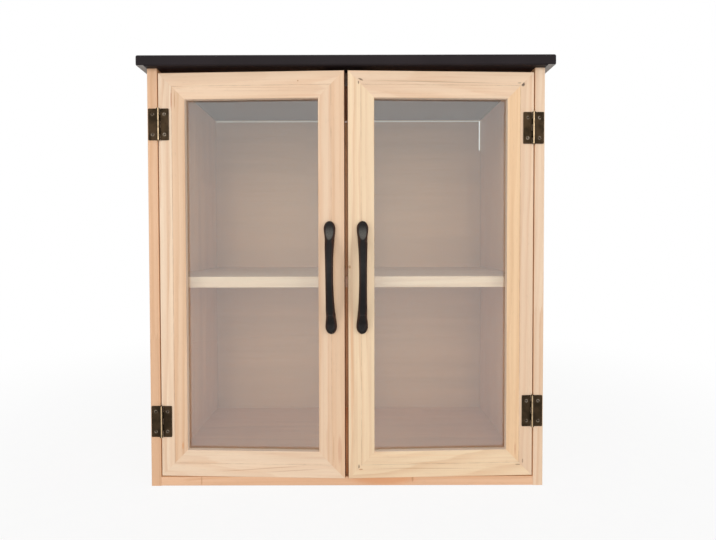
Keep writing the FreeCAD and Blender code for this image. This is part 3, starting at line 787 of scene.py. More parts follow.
@dataclass(frozen=True)
class Metal:
    """Plated, cast or blackened metal with patches, specks and worn edges."""

    base: Colour
    spot: Colour
    edge: Colour
    roughness: float = 0.45
    gloss_spread: float = 0.12
    metallic: float = 1.0
    specular: float = 0.5
    edge_width: float = 0.0005
    edge_break_up: float = 160.0
    edge_share: float = 0.6
    speck_share: float = 0.35
    patch_size: float = 0.006
    speck_size: float = 0.0007
    relief_depth: float = 0.00003
    flank_share: float = 0.0
    # The knuckles' stripe of worn brass and painted highlight lies this far inboard of the axis.
    stripe_inset: float = 0.0009
    stripe_half: float = 0.0007
    stripe_depth: float = 0.0016
    stripe_scale: float = 260.0
    rub_scale: float = 700.0
    head_edge: float = 0.00025

    def material(
        self,
        name: str,
        axis: Optional[Vector] = None,
        marks: Sequence[Mark] = (),
        head: Optional[float] = None,
        scoop: Optional[Triple] = None,
    ) -> Material:
        """Makes the metal's material.

        Args:
            name: the piece's name.
            axis: a point on the hinge's axis, near which the knuckles take a stripe of worn brass and
                painted highlight.
            marks: holes or scratches on the piece.
            head: Y of the screws' heads, behind which their recesses take painted shade.
            scoop: the oval of painted highlight in the handle's upper scoop, as its mask takes it.

        Returns:
            The material.
        """
        surface = Surface(f"{name}_metal")
        cloud = surface.mottled(self.patch_size, self.speck_size)
        edge = surface.worn(self.edge_width, self.edge_break_up)
        colour = surface.blend(cloud["Patches"], self.base, self.spot)
        colour = surface.tint(colour, self.edge, cloud["Specks"], self.speck_share)
        colour = surface.tint(colour, self.edge, edge, self.edge_share)
        gloss: Feed = surface.line(cloud["Patches"], self.gloss_spread, self.roughness)
        if self.flank_share:
            flank = surface.ramp(surface.math("ABSOLUTE", surface.split(surface.facing)[0]), 0.25, 0.8)
            colour = surface.tint(colour, self.edge, flank, self.flank_share)
        # Painted highlight in the upper scoop, where its wall faces the light from above.
        if scoop:
            colour = surface.blend(self._scoop(surface, scoop), colour, CAST_SHEEN_GREY)
        # Worn brass and a painted highlight along the knuckles.
        if axis:
            worn = self._knuckle(surface, axis)
            colour = surface.blend(worn, colour, WORN_BRASS_GLINT)
            gloss = surface.line(worn, -self.gloss_spread, gloss)
        # Painted shade in the screws' recesses.
        if head is not None:
            y = surface.split(surface.place)[1]
            sunk = surface.ramp(y, head + self.head_edge, head + self.head_edge * 2)
            colour = surface.blend(sunk, colour, BRONZE_RECESS_SHADE)
        for mark in marks:
            colour = surface.tint(colour, mark.colour, surface.mark(mark), mark.share)
        surface.dress({
            "Base Color": colour, "Roughness": gloss, "Metallic": self.metallic,
            "Specular IOR Level": self.specular,
        })
        surface.relief(cloud["Height"], self.relief_depth)
        return surface.material

    def _scoop(self, surface: Surface, scoop: Triple) -> Socket:
        """The mask of the painted highlight in a handle's upper scoop, stronger toward its lip.

        Args:
            surface: the material being made.
            scoop: half width and half height of the highlighted oval, and the height of its middle.

        Returns:
            The mask.
        """
        x, _, z = surface.split(surface.place)
        across = surface.math("DIVIDE", x, scoop[0])
        level = surface.math("DIVIDE", surface.less(z, scoop[2]), scoop[1])
        oval = surface.ramp(surface.length(surface.join(across, 0.0, level)), 0.7, 1.0, 1.0, 0.0)
        sheen_fade = surface.ramp(level, -0.45, 1.0, 1.0, 0.0)
        streaks = surface.ramp(surface.noise(surface.place, self.rub_scale), 0.3, 0.6, 0.65, 1.0)
        return surface.times(sheen_fade, oval, streaks)

    def _knuckle(self, surface: Surface, axis: Vector) -> Socket:
        """The mask of the bright stripe along the knuckles: worn brass and a painted highlight, set
        inboard of the axis where the barrel faces the camera.

        Args:
            surface: the material being made.
            axis: a point on the hinge's axis.

        Returns:
            The mask.
        """
        x, y, _ = surface.split(surface.place)
        inboard = axis.x - math.copysign(self.stripe_inset, axis.x)
        aside = surface.math("ABSOLUTE", surface.less(x, inboard))
        middle = surface.ramp(aside, self.stripe_half * 0.6, self.stripe_half * 1.4, 1.0, 0.0)
        deep = self.stripe_depth
        proud = surface.ramp(y, axis.y - deep, axis.y - deep / 2, 1.0, 0.0)
        breaks = surface.ramp(surface.noise(surface.place, self.stripe_scale, 3.0), 0.28, 0.5, 0.6, 1.0)
        return surface.times(middle, proud, breaks)


@dataclass(frozen=True)
class Moulded:
    """Moulded plastic or pressed ferrite with a fine grain."""

    base: Colour
    fleck: Colour
    roughness: float = 0.5
    grain_size: float = 0.0006
    gloss_spread: float = 0.15
    patch_grains: int = 14
    relief_grains: float = 0.05

    def material(self, name: str) -> Material:
        """Makes the material.

        Args:
            name: the piece's name.

        Returns:
            The material.
        """
        surface = Surface(f"{name}_moulded")
        cloud = surface.mottled(self.grain_size * self.patch_grains, self.grain_size)
        share = surface.line(cloud["Patches"], 0.25, surface.times(cloud["Specks"], 0.4))
        surface.dress({
            "Base Color": surface.blend(share, self.base, self.fleck),
            "Roughness": surface.line(cloud["Patches"], self.gloss_spread, self.roughness),
        })
        surface.relief(cloud["Height"], self.grain_size * self.relief_grains)
        return surface.material


LACQUERED = TimberFinish()
RAW_TIMBER = TimberFinish(roughness=0.62, specular=0.3, coat=0.0)
AGED_BRONZE = Metal(BRONZE, BRONZE_SPOT, BRONZE_EDGE, roughness=0.5, edge_share=0.4, patch_size=0.012)
BRONZE_SCREW = Metal(SCREW_RIM, BRONZE, SCREW_RIM, roughness=0.4, patch_size=0.003)
CAST_IRON = Metal(
    CAST_BLACK, dimmed(CAST_BLACK, 0.7), CAST_BROWN, roughness=0.4, metallic=0.0, specular=0.18,
    edge_share=0.3, patch_size=0.009, relief_depth=0.00004, flank_share=0.8,
)
ZINC_STEEL = Metal(ZINC, tone(150, 152, 156), tone(214, 214, 210), roughness=0.3, patch_size=0.004)
CATCH_PLASTIC = Moulded(CATCH_BROWN, tone(120, 90, 66), 0.42)
FERRITE = Moulded(FERRITE_GREY, tone(80, 78, 76), 0.6, 0.0003)
GLASS = ClearGlass()

DOWEL_RINGS = 0.0016


def dress(node: str, material: Material) -> None:
    """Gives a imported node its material.

    Args:
        node: the node's name.
        material: the material for all of it.
    """
    piece = frame["nodes"][node]
    piece.data.materials.clear()
    piece.data.materials.append(material)
    log.info("%s: %s", node, material.name)


def dress_board(node: str, board: Board, finish: TimberFinish = LACQUERED) -> None:
    """Gives a packed board its own timber under a finish."""
    low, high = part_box(node)
    dress(node, finish.material(node, board, (low + high) / 2))


def dress_plain(finish: Union[ClearGlass, Metal, Moulded], *nodes: str) -> None:
    """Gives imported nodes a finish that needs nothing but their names."""
    for node in nodes:
        dress(node, finish.material(node))


def dress_screws(node: str) -> None:
    """Gives a node of hinge screws worn rims and recesses in painted shade."""
    dress(node, BRONZE_SCREW.material(node, head=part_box(node)[0].y))


# The case

BOTTOM_MARKS = (
    Mark((0.055, -0.15, 0.0105), (0.062, 0.004, 0.012), SAP_ORANGE, 0.5, ragged=0.2),
    Mark((0.1005, -0.15, 0.0105), (0.0020, 0.004, 0.006), BROWN_PINE, 0.5, ragged=1.2),
    Mark((-0.2230, -0.15, 0.0075), (0.0012, 0.004, 0.010), BROWN_PINE, 0.5, ragged=1.2),
)


@dataclass
class Case:
    """The case: sides, top, bottom, shelf, back, and what joins them."""

    boards: Mapping[str, Board] = field(default_factory=lambda: {
        # The inner faces of the sides and the top face of the bottom take painted light.
        "left_side_panel": Board(
            Grain.PANEL, 11, RUDDY_PINE, blocks=Blocks(tone_share=0.2),
            shaded=(1.0, 0.0, 0.0), shade=INNER_PAINTED_LIGHT_PINE,
        ),
        "right_side_panel": Board(
            Grain.PANEL, 23, PALE_PINE, blocks=Blocks(tone_share=0.2),
            shaded=(-1.0, 0.0, 0.0), shade=INNER_PAINTED_LIGHT_PINE,
        ),
        "bottom_board": Board(
            Grain.LEVEL, 31, ROSY_PINE, blocks=Blocks(block_length=0.34, tone_share=0.15),
            shaded=(0.0, 0.0, 1.0), shade=INNER_PAINTED_LIGHT_PINE, marks=BOTTOM_MARKS,
        ),
        "shelf": Board(Grain.LEVEL, 42, SHELF_PINE, pith_depth=0.05, blocks=Blocks(tone_share=0.15)),
        # The back's inside face is darker as painted shade; its outside face keeps a plain tone.
        "back_panel": Board(
            Grain.LEVEL, 57, BACK_PAINTED_SHADE_PINE, blocks=Blocks(strip_width=0.09, tone_share=0.2),
            shaded=(0.0, 1.0, 0.0), shade=HONEY_PINE,
        ),
    })
    painted_edge: float = 0.019

    def build(self) -> None:
        """Dresses the whole case."""
        for node, board in self.boards.items():
            dress_board(node, board)
        self._top()
        self._fastenings()

    def _top(self) -> None:
        """Paints the top board black, but not inside the case."""
        low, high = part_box("left_side_panel")
        inner = Vector((abs(high.x), low.y + self.painted_edge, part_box("back_panel")[0].y))
        dress("top_board", PaintedTop().material("top_board", inner, abs(low.x)))

    def _fastenings(self) -> None:
        """Dresses the dowels, the screws of the back and the double magnetic catch."""
        dowel = Board(Grain.UPRIGHT, 5, BEECH, DEEP_BEECH, spacing=DOWEL_RINGS, ring_share=0.2)
        for node in ("top_dowels", "bottom_dowels", "shelf_dowels"):
            dress_board(node, dowel, RAW_TIMBER)
        dress_plain(ZINC_STEEL, "back_panel_screws", "catch_pole_plates", "catch_screws")
        dress_plain(CATCH_PLASTIC, "catch_housing")
        dress_plain(FERRITE, "catch_magnets")


# Doors

def smooth(value: float, low: float, high: float) -> float:
    """Eases from 0 where a value is at low to 1 where it is at high."""
    share = min(max((value - low) / (high - low), 0.0), 1.0)
    return share * share * (3 - 2 * share)


def rounded(share: float, power: float) -> float:
    """A share raised to a power, with its own sign."""
    return math.copysign(abs(share) ** power, share)


def soft_high(first: float, second: float, blend: float) -> float:
    """The higher of two heights, rounded where they meet."""
    return (first + second + math.sqrt((first - second) ** 2 + blend ** 2)) / 2


def soft_low(first: float, second: float, blend: float) -> float:
    """The lower of two heights, rounded where they meet."""
    return (first + second - math.sqrt((first - second) ** 2 + blend ** 2)) / 2


def new_piece(name: str, mesh: bmesh.types.BMesh) -> bpy.types.Object:
    """Turns a finished mesh into a smooth-shaded object in the scene.

    Args:
        name: the piece's name.
        mesh: its mesh, which is freed.

    Returns:
        The new object.
    """
    data = bpy.data.meshes.new(name)
    for face in mesh.faces:
        face.smooth = True
    mesh.to_mesh(data)
    mesh.free()
    piece = bpy.data.objects.new(name, data)
    bpy.context.scene.collection.objects.link(piece)
    return piece


@dataclass
class BowHandle:
    """A cast bow handle: a leaning grip between two domed feet with scooped fronts."""

    side: Side
    lean: float
    length: float = 0.1695
    screw_pitch: float = 0.128
    projection: float = 0.0261
    grip_thickness: float = 0.008
    grip_width: float = 0.0115
    neck_width: float = 0.0144
    foot_width: float = 0.0175
    foot_height: float = 0.0085
    foot_length: float = 0.040
    widest: float = 0.0115
    neck_at: float = 0.030
    leaves_door: float = 0.026
    dome_power: float = 2.6
    dome_curve: float = 3.2
    dish_middle: float = 0.0152
    dish_reach: float = 0.0133
    dish_half_width: float = 0.0076
    dish_depth: float = 0.0032
    dish_curve: float = 2.2
    dish_climb: float = 1.3
    dish_wall: float = 0.045
    dish_blend: float = 0.00035
    lip_rise: float = 0.0018
    lip_start: float = 0.018
    lip_end: float = 0.0315
    lip_blend: float = 0.0012
    # Where the painted highlight in the upper scoop lies.
    rub_middle: float = 0.0165
    rub_reach: float = 0.0132
    rub_half_width: float = 0.0066
    widest_at_foot: float = 0.12
    widest_at_grip: float = 0.5
    fine_feet: float = 1.1
    tip_gap: float = 0.00001
    foot_rings: int = 60
    grip_rings: int = 44
    ring_points: int = 88

    @property
    def lip_at(self) -> float:
        """Distance of the scoop's lip from the tip."""
        return self.dish_middle + self.dish_reach

    @property
    def finely_shaped(self) -> float:
        """Distance from the tip up to which the sections lie close together."""
        return self.foot_length * self.fine_feet

    def bow(self, z: float) -> Pair:
        """Back and front of the grip at a height from its middle.

        Args:
            z: the height from the handle's middle.

        Returns:
            The distances of its back and its front from the door.
        """
        rise = self.projection - (self.grip_thickness + self.foot_height) / 2
        radius = ((self.screw_pitch / 2) ** 2 + rise ** 2) / (2 * rise)
        across = math.sqrt(max(radius ** 2 - z ** 2, 0.0))
        middle = self.foot_height / 2 + across - (radius - rise)
        half = self.grip_thickness / 2 * radius / max(across, radius / 2)
        return middle - half, middle + min(half, self.projection - middle)

    def half_width(self, tip: float) -> float:
        """Half the handle's width at a distance from its nearer tip.

        Args:
            tip: the distance from the tip.

        Returns:
            Half the width there.
        """
        if tip < self.widest:
            return self.foot_width / 2 * math.sqrt(max(1 - (1 - tip / self.widest) ** 2, 0.0))
        if tip < self.neck_at:
            share = smooth(tip, self.widest, self.neck_at)
            return (self.foot_width + (self.neck_width - self.foot_width) * share) / 2
        share = (self.length / 2 - tip) / (self.length / 2 - self.neck_at)
        return (self.grip_width + (self.neck_width - self.grip_width) * share ** 2) / 2

    def depths(self, tip: float) -> Pair:
        """Back and front of the handle at a distance from its nearer tip.

        Args:
            tip: the distance from the tip.

        Returns:
            The distances of its back and its front from the door.
        """
        bow_back, bow_front = self.bow(self.length / 2 - tip)
        short = max(1 - tip / (self.foot_length / 2), 0.0)
        dome = self.foot_height * (1 - short ** self.dome_curve) ** (1 / self.dome_curve)
        free = smooth(tip, self.leaves_door, self.foot_length)
        bump = smooth(tip, self.lip_start, self.lip_at) * smooth(tip, self.lip_end, self.lip_at)
        front = soft_high(dome, bow_front, self.lip_blend) + self.lip_rise * bump
        return max(bow_back, 0.0) * free, front

    def dish(self, tip: float, x: float) -> float:
        """The scooped surface's distance from the door.

        Args:
            tip: the distance from the tip.
            x: the distance from the middle line.

        Returns:
            The distance of the dish's surface from the door.
        """
        along = (tip - self.dish_middle) / self.dish_reach
        share = math.hypot(x / self.dish_half_width, along)
        bowl = self.dish_depth * (1 - min(share, 1.0) ** self.dish_curve)
        lift = self.depths(self.lip_at)[1] - self.foot_height
        climb = lift * min(max(along, 0.0), 1.0) ** self.dish_climb
        return self.foot_height - bowl + climb + self.dish_wall * max(share - 1.0, 0.0)

    def ring(self, tip: float, z: float) -> list[Vector]:
        """The closed section at one height, in the handle's own frame.

        Args:
            tip: the distance from the nearer tip.
            z: the height from the middle.

        Returns:
            The section's points, with the door behind at Y 0.
        """
        half = self.half_width(tip)
        back, front = self.depths(tip)
        free = smooth(tip, self.foot_length / 2, self.foot_length)
        level = self.widest_at_foot + (self.widest_at_grip - self.widest_at_foot) * free
        middle = back + (front - back) * level
        power = 2 / (self.dome_power + (2 - self.dome_power) * free)
        points = []
        for step in range(self.ring_points):
            turn = math.tau * step / self.ring_points
            across, out = math.cos(turn), math.sin(turn)
            x = half * rounded(across, power)
            depth = middle + (front - middle if out > 0 else middle - back) * rounded(out, power)
            if out > 0 and tip < self.finely_shaped:
                depth = soft_low(depth, self.dish(tip, x), self.dish_blend)
            points.append(Vector((x, -depth, z)))
        return points

    def heights(self) -> list[float]:
        """The heights of the sections, close together at the feet.

        Returns:
            Heights from the handle's middle, lowest first.
        """
        half = self.length / 2
        turns = (math.pi / 2 * step / self.foot_rings for step in range(self.foot_rings))
        foot = [half - self.finely_shaped * (1 - math.cos(turn)) - self.tip_gap for turn in turns]
        end = half - self.finely_shaped
        grip = [end * (1 - 2 * step / self.grip_rings) for step in range(self.grip_rings + 1)]
        return [-z for z in foot] + grip[::-1] + foot[::-1]

    def build(self, turn: Matrix) -> None:
        """Makes the smooth casting in place of the plain one.

        Args:
            turn: carries the closed door to where it rests.
        """
        node = f"{self.side.word}_door_handle"
        mesh = bmesh.new()
        half = self.length / 2
        rings = []
        for z in self.heights():
            rings.append([mesh.verts.new(point) for point in self.ring(half - abs(z), z)])
        for lower, upper in zip(rings, rings[1:]):
            for step in range(self.ring_points):
                after = (step + 1) % self.ring_points
                mesh.faces.new((lower[step], lower[after], upper[after], upper[step]))
        mesh.faces.new(rings[0][::-1])
        mesh.faces.new(rings[-1])
        bmesh.ops.recalc_face_normals(mesh, faces=mesh.faces)
        piece = new_piece(f"{self.side.word}_bow_handle", mesh)
        seat = Matrix.Translation(self.seat(node, turn))
        piece.matrix_world = turn @ seat @ Matrix.Rotation(-self.lean, 4, "Y")
        # The upper scoop takes a painted highlight.
        scoop = (self.rub_half_width, self.rub_reach, half - self.rub_middle)
        piece.data.materials.append(CAST_IRON.material(piece.name, scoop=scoop))
        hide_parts(node)
        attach(piece, f"{self.side.word}_door")
        log.info("%s: %d points", piece.name, len(piece.data.vertices))

    def seat(self, node: str, turn: Matrix) -> Vector:
        """Where the handle's middle meets the closed door's face.

        Args:
            node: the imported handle.
            turn: carries the closed door to where it rests.

        Returns:
            The point on the door's face.
        """
        closed = turn.inverted()
        points = [closed @ vertex.co for vertex in frame["nodes"][node].data.vertices]
        x, y, z = zip(*points)
        return Vector(((min(x) + max(x)) / 2, max(y), (min(z) + max(z)) / 2))


@dataclass
class Door:
    """A glazed door: frame members, pane, beads, hinges, handle and strike plate."""

    side: Side
    seed: int
    tones: Mapping[str, tuple[Colour, Colour]]
    marks: Mapping[str, tuple[Mark, ...]]
    handle: BowHandle
    line_inset: float = 0.0205
    seed_step: int = 7
    bead_seed: int = 40
    dowel_seed: int = 60
    piths: Mapping[str, Triple] = field(default_factory=lambda: {
        "hinge_stile": (-0.05, 0.11, 0.012),
        "top_rail": (0.02, 0.16, -0.02),
        "meeting_stile": (0.045, 0.13, 0.008),
        "bottom_rail": (-0.03, 0.12, 0.03),
    })

    @property
    def joint(self) -> Mapping[str, object]:
        """The door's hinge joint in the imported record."""
        return next(joint for joint in frame["joints"] if joint["child"] == f"{self.side.word}_door")

    @property
    def turn(self) -> Matrix:
        """Carries a point of the closed door to where the door rests, a little ajar."""
        pivot = Vector(self.joint["pos_m"])
        ajar = math.radians(-self.joint["range_deg"][0])
        turned = Matrix.Rotation(ajar, 4, Vector(self.joint["axis"]))
        return Matrix.Translation(pivot) @ turned @ Matrix.Translation(-pivot)

    def build(self) -> None:
        """Dresses the whole door."""
        self._members()
        self._glazing()
        self._hinges()
        self.handle.build(self.turn)

    def _node(self, part: str) -> str:
        """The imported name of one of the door's parts."""
        return f"{self.side.word}_door_{part}"

    def _members(self) -> None:
        """Gives each frame member its own timber, with its moulded band."""
        outward = {
            "hinge_stile": self.side.value, "meeting_stile": -self.side.value,
            "top_rail": 1, "bottom_rail": -1,
        }
        for number, (member, (across, depth, tilt)) in enumerate(self.piths.items()):
            flat, band = self.tones[member]
            out = outward[member]
            grain = Grain.UPRIGHT if member.endswith("stile") else Grain.CROSSWISE
            low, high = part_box(self._node(member))
            rim = (high if out > 0 else low)[grain.value[0]]
            board = Board(
                grain, self.seed + number * self.seed_step, flat,
                pith_across=across, pith_depth=depth, tilt=tilt,
                band=Band(rim - out * self.line_inset, -out, band), marks=self.marks[member],
                # The meeting edge takes painted shade; the walls round the pane take painted light.
                shaded=self._shaded(member),
                shade=GAP_PAINTED_SHADE_PINE if member == "meeting_stile" else RIM_PAINTED_LIGHT_PINE,
            )
            dress_board(self._node(member), board)

    def _shaded(self, member: str) -> Triple:
        """The way of a member's face that takes painted light or painted shade: toward the pane, or toward
        the other door.
        """
        if member.endswith("stile"):
            return (-self.side.value, 0, 0)
        return (0, 0, -1 if member == "top_rail" else 1)

    def _glazing(self) -> None:
        """Dresses the pane, its beads, the mitre dowels and all the door's small steel parts."""
        dress_plain(GLASS, self._node("glass"))
        for number, bead in enumerate(("hinge_side_bead", "top_bead", "meeting_side_bead", "bottom_bead")):
            grain = Grain.UPRIGHT if bead.endswith("side_bead") else Grain.CROSSWISE
            board = Board(grain, self.seed + self.bead_seed + number)
            dress_board(self._node(bead), board, RAW_TIMBER)
        dowel = Board(Grain.CROSSWISE, self.seed + self.dowel_seed, BEECH, DEEP_BEECH, spacing=DOWEL_RINGS)
        dress_board(self._node("mitre_dowels"), dowel, RAW_TIMBER)
        steel = ("bead_pins", "strike_plate", "strike_screw", "handle_screws")
        dress_plain(ZINC_STEEL, *(self._node(part) for part in steel))

    def _hinges(self) -> None:
        """Dresses the hinges' leaves, pins and screws."""
        axis = Vector(self.joint["pos_m"])
        word = self.side.word
        bronze = AGED_BRONZE.material(f"{word}_hinges", axis)
        holed = bronze
        if self.side is Side.LEFT:
            holed = AGED_BRONZE.material(f"{word}_holed_leaf", axis, self.marks["upper_leaf"])
        for level in ("upper", "lower"):
            dress(f"{word}_{level}_hinge_case_leaf", bronze)
            dress(self._node(f"{level}_hinge_door_leaf"), holed if level == "upper" else bronze)
            dress(f"{word}_{level}_hinge_pin", bronze)
        dress_screws(self._node("hinge_door_screws"))


# Stage

@dataclass(frozen=True)
class Softbox:
    """A soft rectangular lamp, by where it hangs and what it points at."""

    name: str
    place: Triple
    target: Triple
    size: Pair
    power: float

    def hang(self, unlit: bpy.types.Collection) -> None:
        """Adds the lamp to the scene.

        Args:
            unlit: the pieces that the lamp doesn't light.
        """
        lamp = bpy.data.lights.new(self.name, "AREA")
        lamp.shape, lamp.size, lamp.size_y, lamp.energy = "RECTANGLE", *self.size, self.power
        hung = bpy.data.objects.new(self.name, lamp)
        hung.location = self.place
        aim = Vector(self.target) - Vector(self.place)
        hung.rotation_euler = aim.to_track_quat("-Z", "Y").to_euler()
        hung.light_linking.receiver_collection = unlit
        bpy.context.scene.collection.objects.link(hung)


@dataclass
class Studio:
    """A plain pale floor, soft light from above and the photograph's view."""

    floor_size: float = 14.0
    floor_gap: float = 0.0004
    floor_tones: Pair = (0.84, 0.88)
    floor_scale: float = 40.0
    floor_roughness: float = 0.9
    camera_place: Triple = (0.0106, -0.8317, 0.3724)
    pitch: float = 1.21
    yaw: float = 0.024
    roll: float = -0.134
    view_width: float = 716.0
    view_height: float = 540.0
    focal_pixels: float = 449.1
    centre_pixels: Pair = (353.2, 252.3)
    sensor: float = 36.0
    sky_level: float = 0.42
    floor_glow: float = 0.88
    glow_reach: Pair = (0.4, 1.3)
    lamps: tuple[Softbox, ...] = (
        Softbox("overhead_lamp", (0.0, -0.5, 2.9), (0.0, 0.0, 0.3), (2.8, 2.4), 14.0),
        Softbox("front_lamp", (-0.05, -2.6, 1.0), (0.0, -0.15, 0.32), (0.6, 1.7), 13.0),
        Softbox("left_lamp", (-2.4, -2.4, 0.8), (0.0, -0.1, 0.3), (1.2, 1.6), 23.0),
        Softbox("right_lamp", (2.4, -2.4, 0.8), (0.0, -0.1, 0.3), (1.2, 1.6), 23.0),
    )

    def build(self) -> None:
        """Makes the floor, the world, the lamps and the camera."""
        self._floor()
        self._world()
        unlit = self._panes()
        for lamp in self.lamps:
            lamp.hang(unlit)
        self._camera()

    def _panes(self) -> bpy.types.Collection:
        """The panes, which mirror the white studio but not its lamps.

        Returns:
            A collection that leaves them out of a lamp's light.
        """
        panes = bpy.data.collections.new("panes_without_lamps")
        for side in Side:
            panes.objects.link(frame["nodes"][f"{side.word}_door_glass"])
        for entry in panes.collection_objects:
            entry.light_linking.link_state = "EXCLUDE"
        return panes

    def _floor(self) -> None:
        """Lays a floor that looks white from the camera and keeps the shadow."""
        mesh = bmesh.new()
        bmesh.ops.create_grid(mesh, x_segments=8, y_segments=8, size=self.floor_size / 2)
        floor = new_piece("studio_floor", mesh)
        floor.location.z = -self.floor_gap
        surface = Surface("studio_floor_paint")
        speck = surface.noise(surface.place, self.floor_scale)
        speck = surface.ramp(speck, 0.3, 0.7, *self.floor_tones)
        speck = surface.join(speck, speck, speck)
        surface.dress({"Base Color": speck, "Roughness": self.floor_roughness})
        self._glow(surface)
        floor.data.materials.append(surface.material)

    def _glow(self, surface: Surface) -> None:
        """Lets camera, glossy and transmission rays see the floor nearly white.

        Args:
            surface: the floor's material.
        """
        glow = surface.node("ShaderNodeEmission", {"Strength": 1.0}).outputs[0]
        x, y, _ = surface.split(surface.place)
        away = surface.length(surface.join(x, y, 0.0))
        share = surface.ramp(away, *self.glow_reach, self.floor_glow, 1.0)
        share = surface.times(self._seen(surface), share)
        surface.show(surface.mixed(share, surface.shader.outputs[0], glow))

    def _seen(self, graph: Graph) -> Socket:
        """1 for camera, glossy and transmission rays, 0 for the light on the object."""
        path = graph.node("ShaderNodeLightPath").outputs
        shiny = graph.math("MAXIMUM", path["Is Glossy Ray"], path["Is Transmission Ray"])
        return graph.math("MAXIMUM", path["Is Camera Ray"], shiny)

    def _world(self) -> None:
        """Makes a white world that lights the object at a plain level."""
        world = bpy.data.worlds.new("studio_world")
        world.use_nodes = True
        graph = Graph(world.node_tree)
        strength = graph.line(self._seen(graph), 1.0 - self.sky_level, self.sky_level)
        background = world.node_tree.nodes["Background"].inputs
        graph.feed(background["Color"], (1.0, 1.0, 1.0))
        graph.feed(background["Strength"], strength)
        bpy.context.scene.world = world

    def _camera(self) -> None:
        """Stands the camera where the photograph was taken from."""
        turns = ((self.roll, "Y"), (self.pitch, "X"), (-self.yaw, "Z"))
        twist, tilt, swing = (Matrix.Rotation(math.radians(angle), 3, axis) for angle, axis in turns)
        across, ahead, above = twist @ tilt @ swing
        camera = bpy.data.cameras.new("photo_camera")
        camera.sensor_width = self.sensor
        camera.lens = self.focal_pixels / self.view_width * self.sensor
        camera.shift_x = (self.view_width / 2 - self.centre_pixels[0]) / self.view_width
        camera.shift_y = (self.centre_pixels[1] - self.view_height / 2) / self.view_width
        stand = bpy.data.objects.new("photo_camera", camera)
        turned = Matrix((across, above, -ahead)).transposed().to_4x4()
        stand.matrix_world = Matrix.Translation(self.camera_place) @ turned
        bpy.context.scene.collection.objects.link(stand)
        bpy.context.scene.camera = stand


# The marks that the photograph shows, where they lie on the ajar doors

FACE_AT_GAP = -0.15946
FACE_SLOPE = 0.03317
REACH_IN = 0.004
LONG_MARK = 0.05


def nick(x: float, z: float, width: float, height: float, *look: object, **more: float) -> Mark:
    """A mark on the face of a door, which runs back from the middle of the case."""
    depth = REACH_IN * 2 if width > LONG_MARK else REACH_IN
    return Mark((x, FACE_AT_GAP + FACE_SLOPE * abs(x), z), (width, depth, height), *look, **more)


LEFT_MARKS: dict[str, tuple[Mark, ...]] = {
    "hinge_stile": (
        nick(-0.2636, 0.588, 0.0012, 0.019, SAP_RED, 0.65),
        nick(-0.2587, 0.588, 0.0012, 0.017, BROWN_PINE, 0.5),
        nick(-0.2511, 0.062, 0.0022, 0.008, SAP_ORANGE, 0.5),
    ),
    "top_rail": (
        nick(-0.135, 0.6055, 0.115, 0.0008, BROWN_PINE, 0.25, slope=-0.012),
        nick(-0.135, 0.6005, 0.110, 0.0007, BROWN_PINE, 0.2, slope=-0.012),
        nick(-0.0717, 0.6143, 0.0014, 0.0014, BROWN_PINE, 0.7),
    ),
    "meeting_stile": (
        nick(-0.0106, 0.059, 0.004, 0.028, SAP_RED, 0.35),
        nick(-0.0197, 0.059, 0.0009, 0.03, BROWN_PINE, 0.4),
    ),
    "bottom_rail": (
        nick(-0.1316, 0.0287, 0.095, 0.0008, BROWN_PINE, 0.4, slope=0.083),
        nick(-0.0794, 0.0268, 0.06, 0.0007, BROWN_PINE, 0.35, slope=0.078),
    ),
    "upper_leaf": (
        Mark((-0.2716, -0.1512, 0.5531), (0.0015, 0.003, 0.0015), DARK_DIRT, 0.9, ragged=0.1),
    ),
}
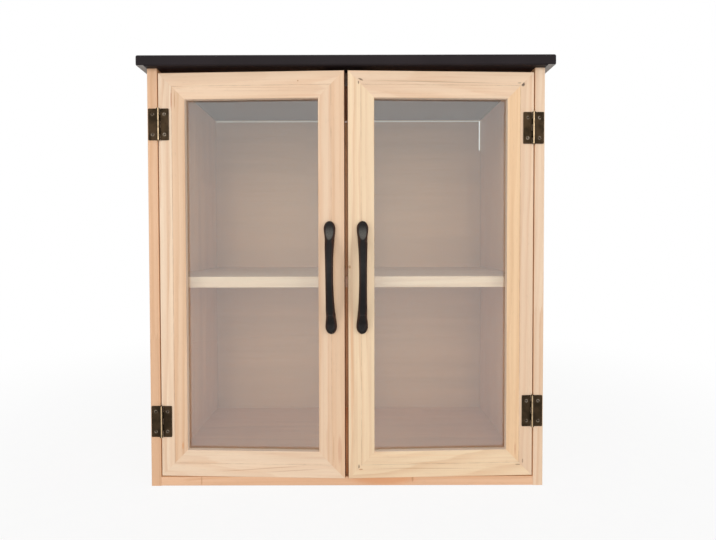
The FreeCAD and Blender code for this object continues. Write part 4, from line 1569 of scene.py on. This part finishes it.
RIGHT_MARKS: dict[str, tuple[Mark, ...]] = {
    "hinge_stile": (
        nick(0.2668, 0.6106, 0.0034, 0.0042, DARK_DIRT, 0.85, sunk=0.0004),
        nick(0.2690, 0.0381, 0.0013, 0.0044, DIRT_AND_SHADE, 0.5, sunk=0.0003),
        nick(0.2575, 0.0564, 0.0012, 0.013, SAP_RED, 0.6),
    ),
    "top_rail": (
        nick(0.0220, 0.6156, 0.0046, 0.0016, DIRT_AND_SHADE, 0.8, slope=-0.4, sunk=0.0003),
        nick(0.2612, 0.6124, 0.0034, 0.0013, DIRT_AND_SHADE, 0.4),
        nick(0.14, 0.6128, 0.13, 0.0008, DIRT_AND_SHADE, 0.35, slope=-0.014),
    ),
    "meeting_stile": (
        nick(0.0188, 0.6128, 0.0014, 0.0054, DIRT_AND_SHADE, 0.85, sunk=0.0003),
        nick(0.0184, 0.0332, 0.0014, 0.0048, DIRT_AND_SHADE, 0.7, sunk=0.0003),
        nick(0.0049, 0.3362, 0.0024, 0.0032, BROWN_PINE, 0.7),
        nick(0.0085, 0.18, 0.0030, 0.15, SAP_ORANGE, 0.3),
    ),
    "bottom_rail": (
        nick(0.2615, 0.0326, 0.0052, 0.0013, DIRT_AND_SHADE, 0.5, sunk=0.0003),
        nick(0.0212, 0.0293, 0.0040, 0.0012, BROWN_PINE, 0.7),
        nick(0.13, 0.0485, 0.13, 0.0012, HONEY_PINE, 0.6, slope=-0.018),
        nick(0.12, 0.0292, 0.115, 0.0007, BROWN_PINE, 0.45, slope=-0.019),
    ),
}
LEFT_TONES = {
    "hinge_stile": (PALE_PINE, WARM_PINE),
    "top_rail": (SOFT_PINE, SOFT_PINE),
    "meeting_stile": (WARM_PINE, SOFT_PINE),
    "bottom_rail": (PALE_PINE, PALE_PINE),
}
RIGHT_TONES = {
    "hinge_stile": (SOFT_PINE, HONEY_PINE),
    "top_rail": (SOFT_PINE, SOFT_PINE),
    "meeting_stile": (CREAM_PINE, CREAM_PINE),
    "bottom_rail": (CREAM_PINE, CREAM_PINE),
}


def main() -> None:
    """Dresses the case and the doors in order, then the studio."""
    logging.basicConfig(level=logging.INFO, format="%(message)s")
    bpy.context.scene.view_settings.view_transform = "Standard"
    Case().build()
    Door(Side.LEFT, 101, LEFT_TONES, LEFT_MARKS, BowHandle(Side.LEFT, math.radians(0.8))).build()
    Door(Side.RIGHT, 202, RIGHT_TONES, RIGHT_MARKS, BowHandle(Side.RIGHT, math.radians(-0.3))).build()
    dress_screws("hinge_case_screws")
    Studio().build()


if __name__ == "__main__":
    main()
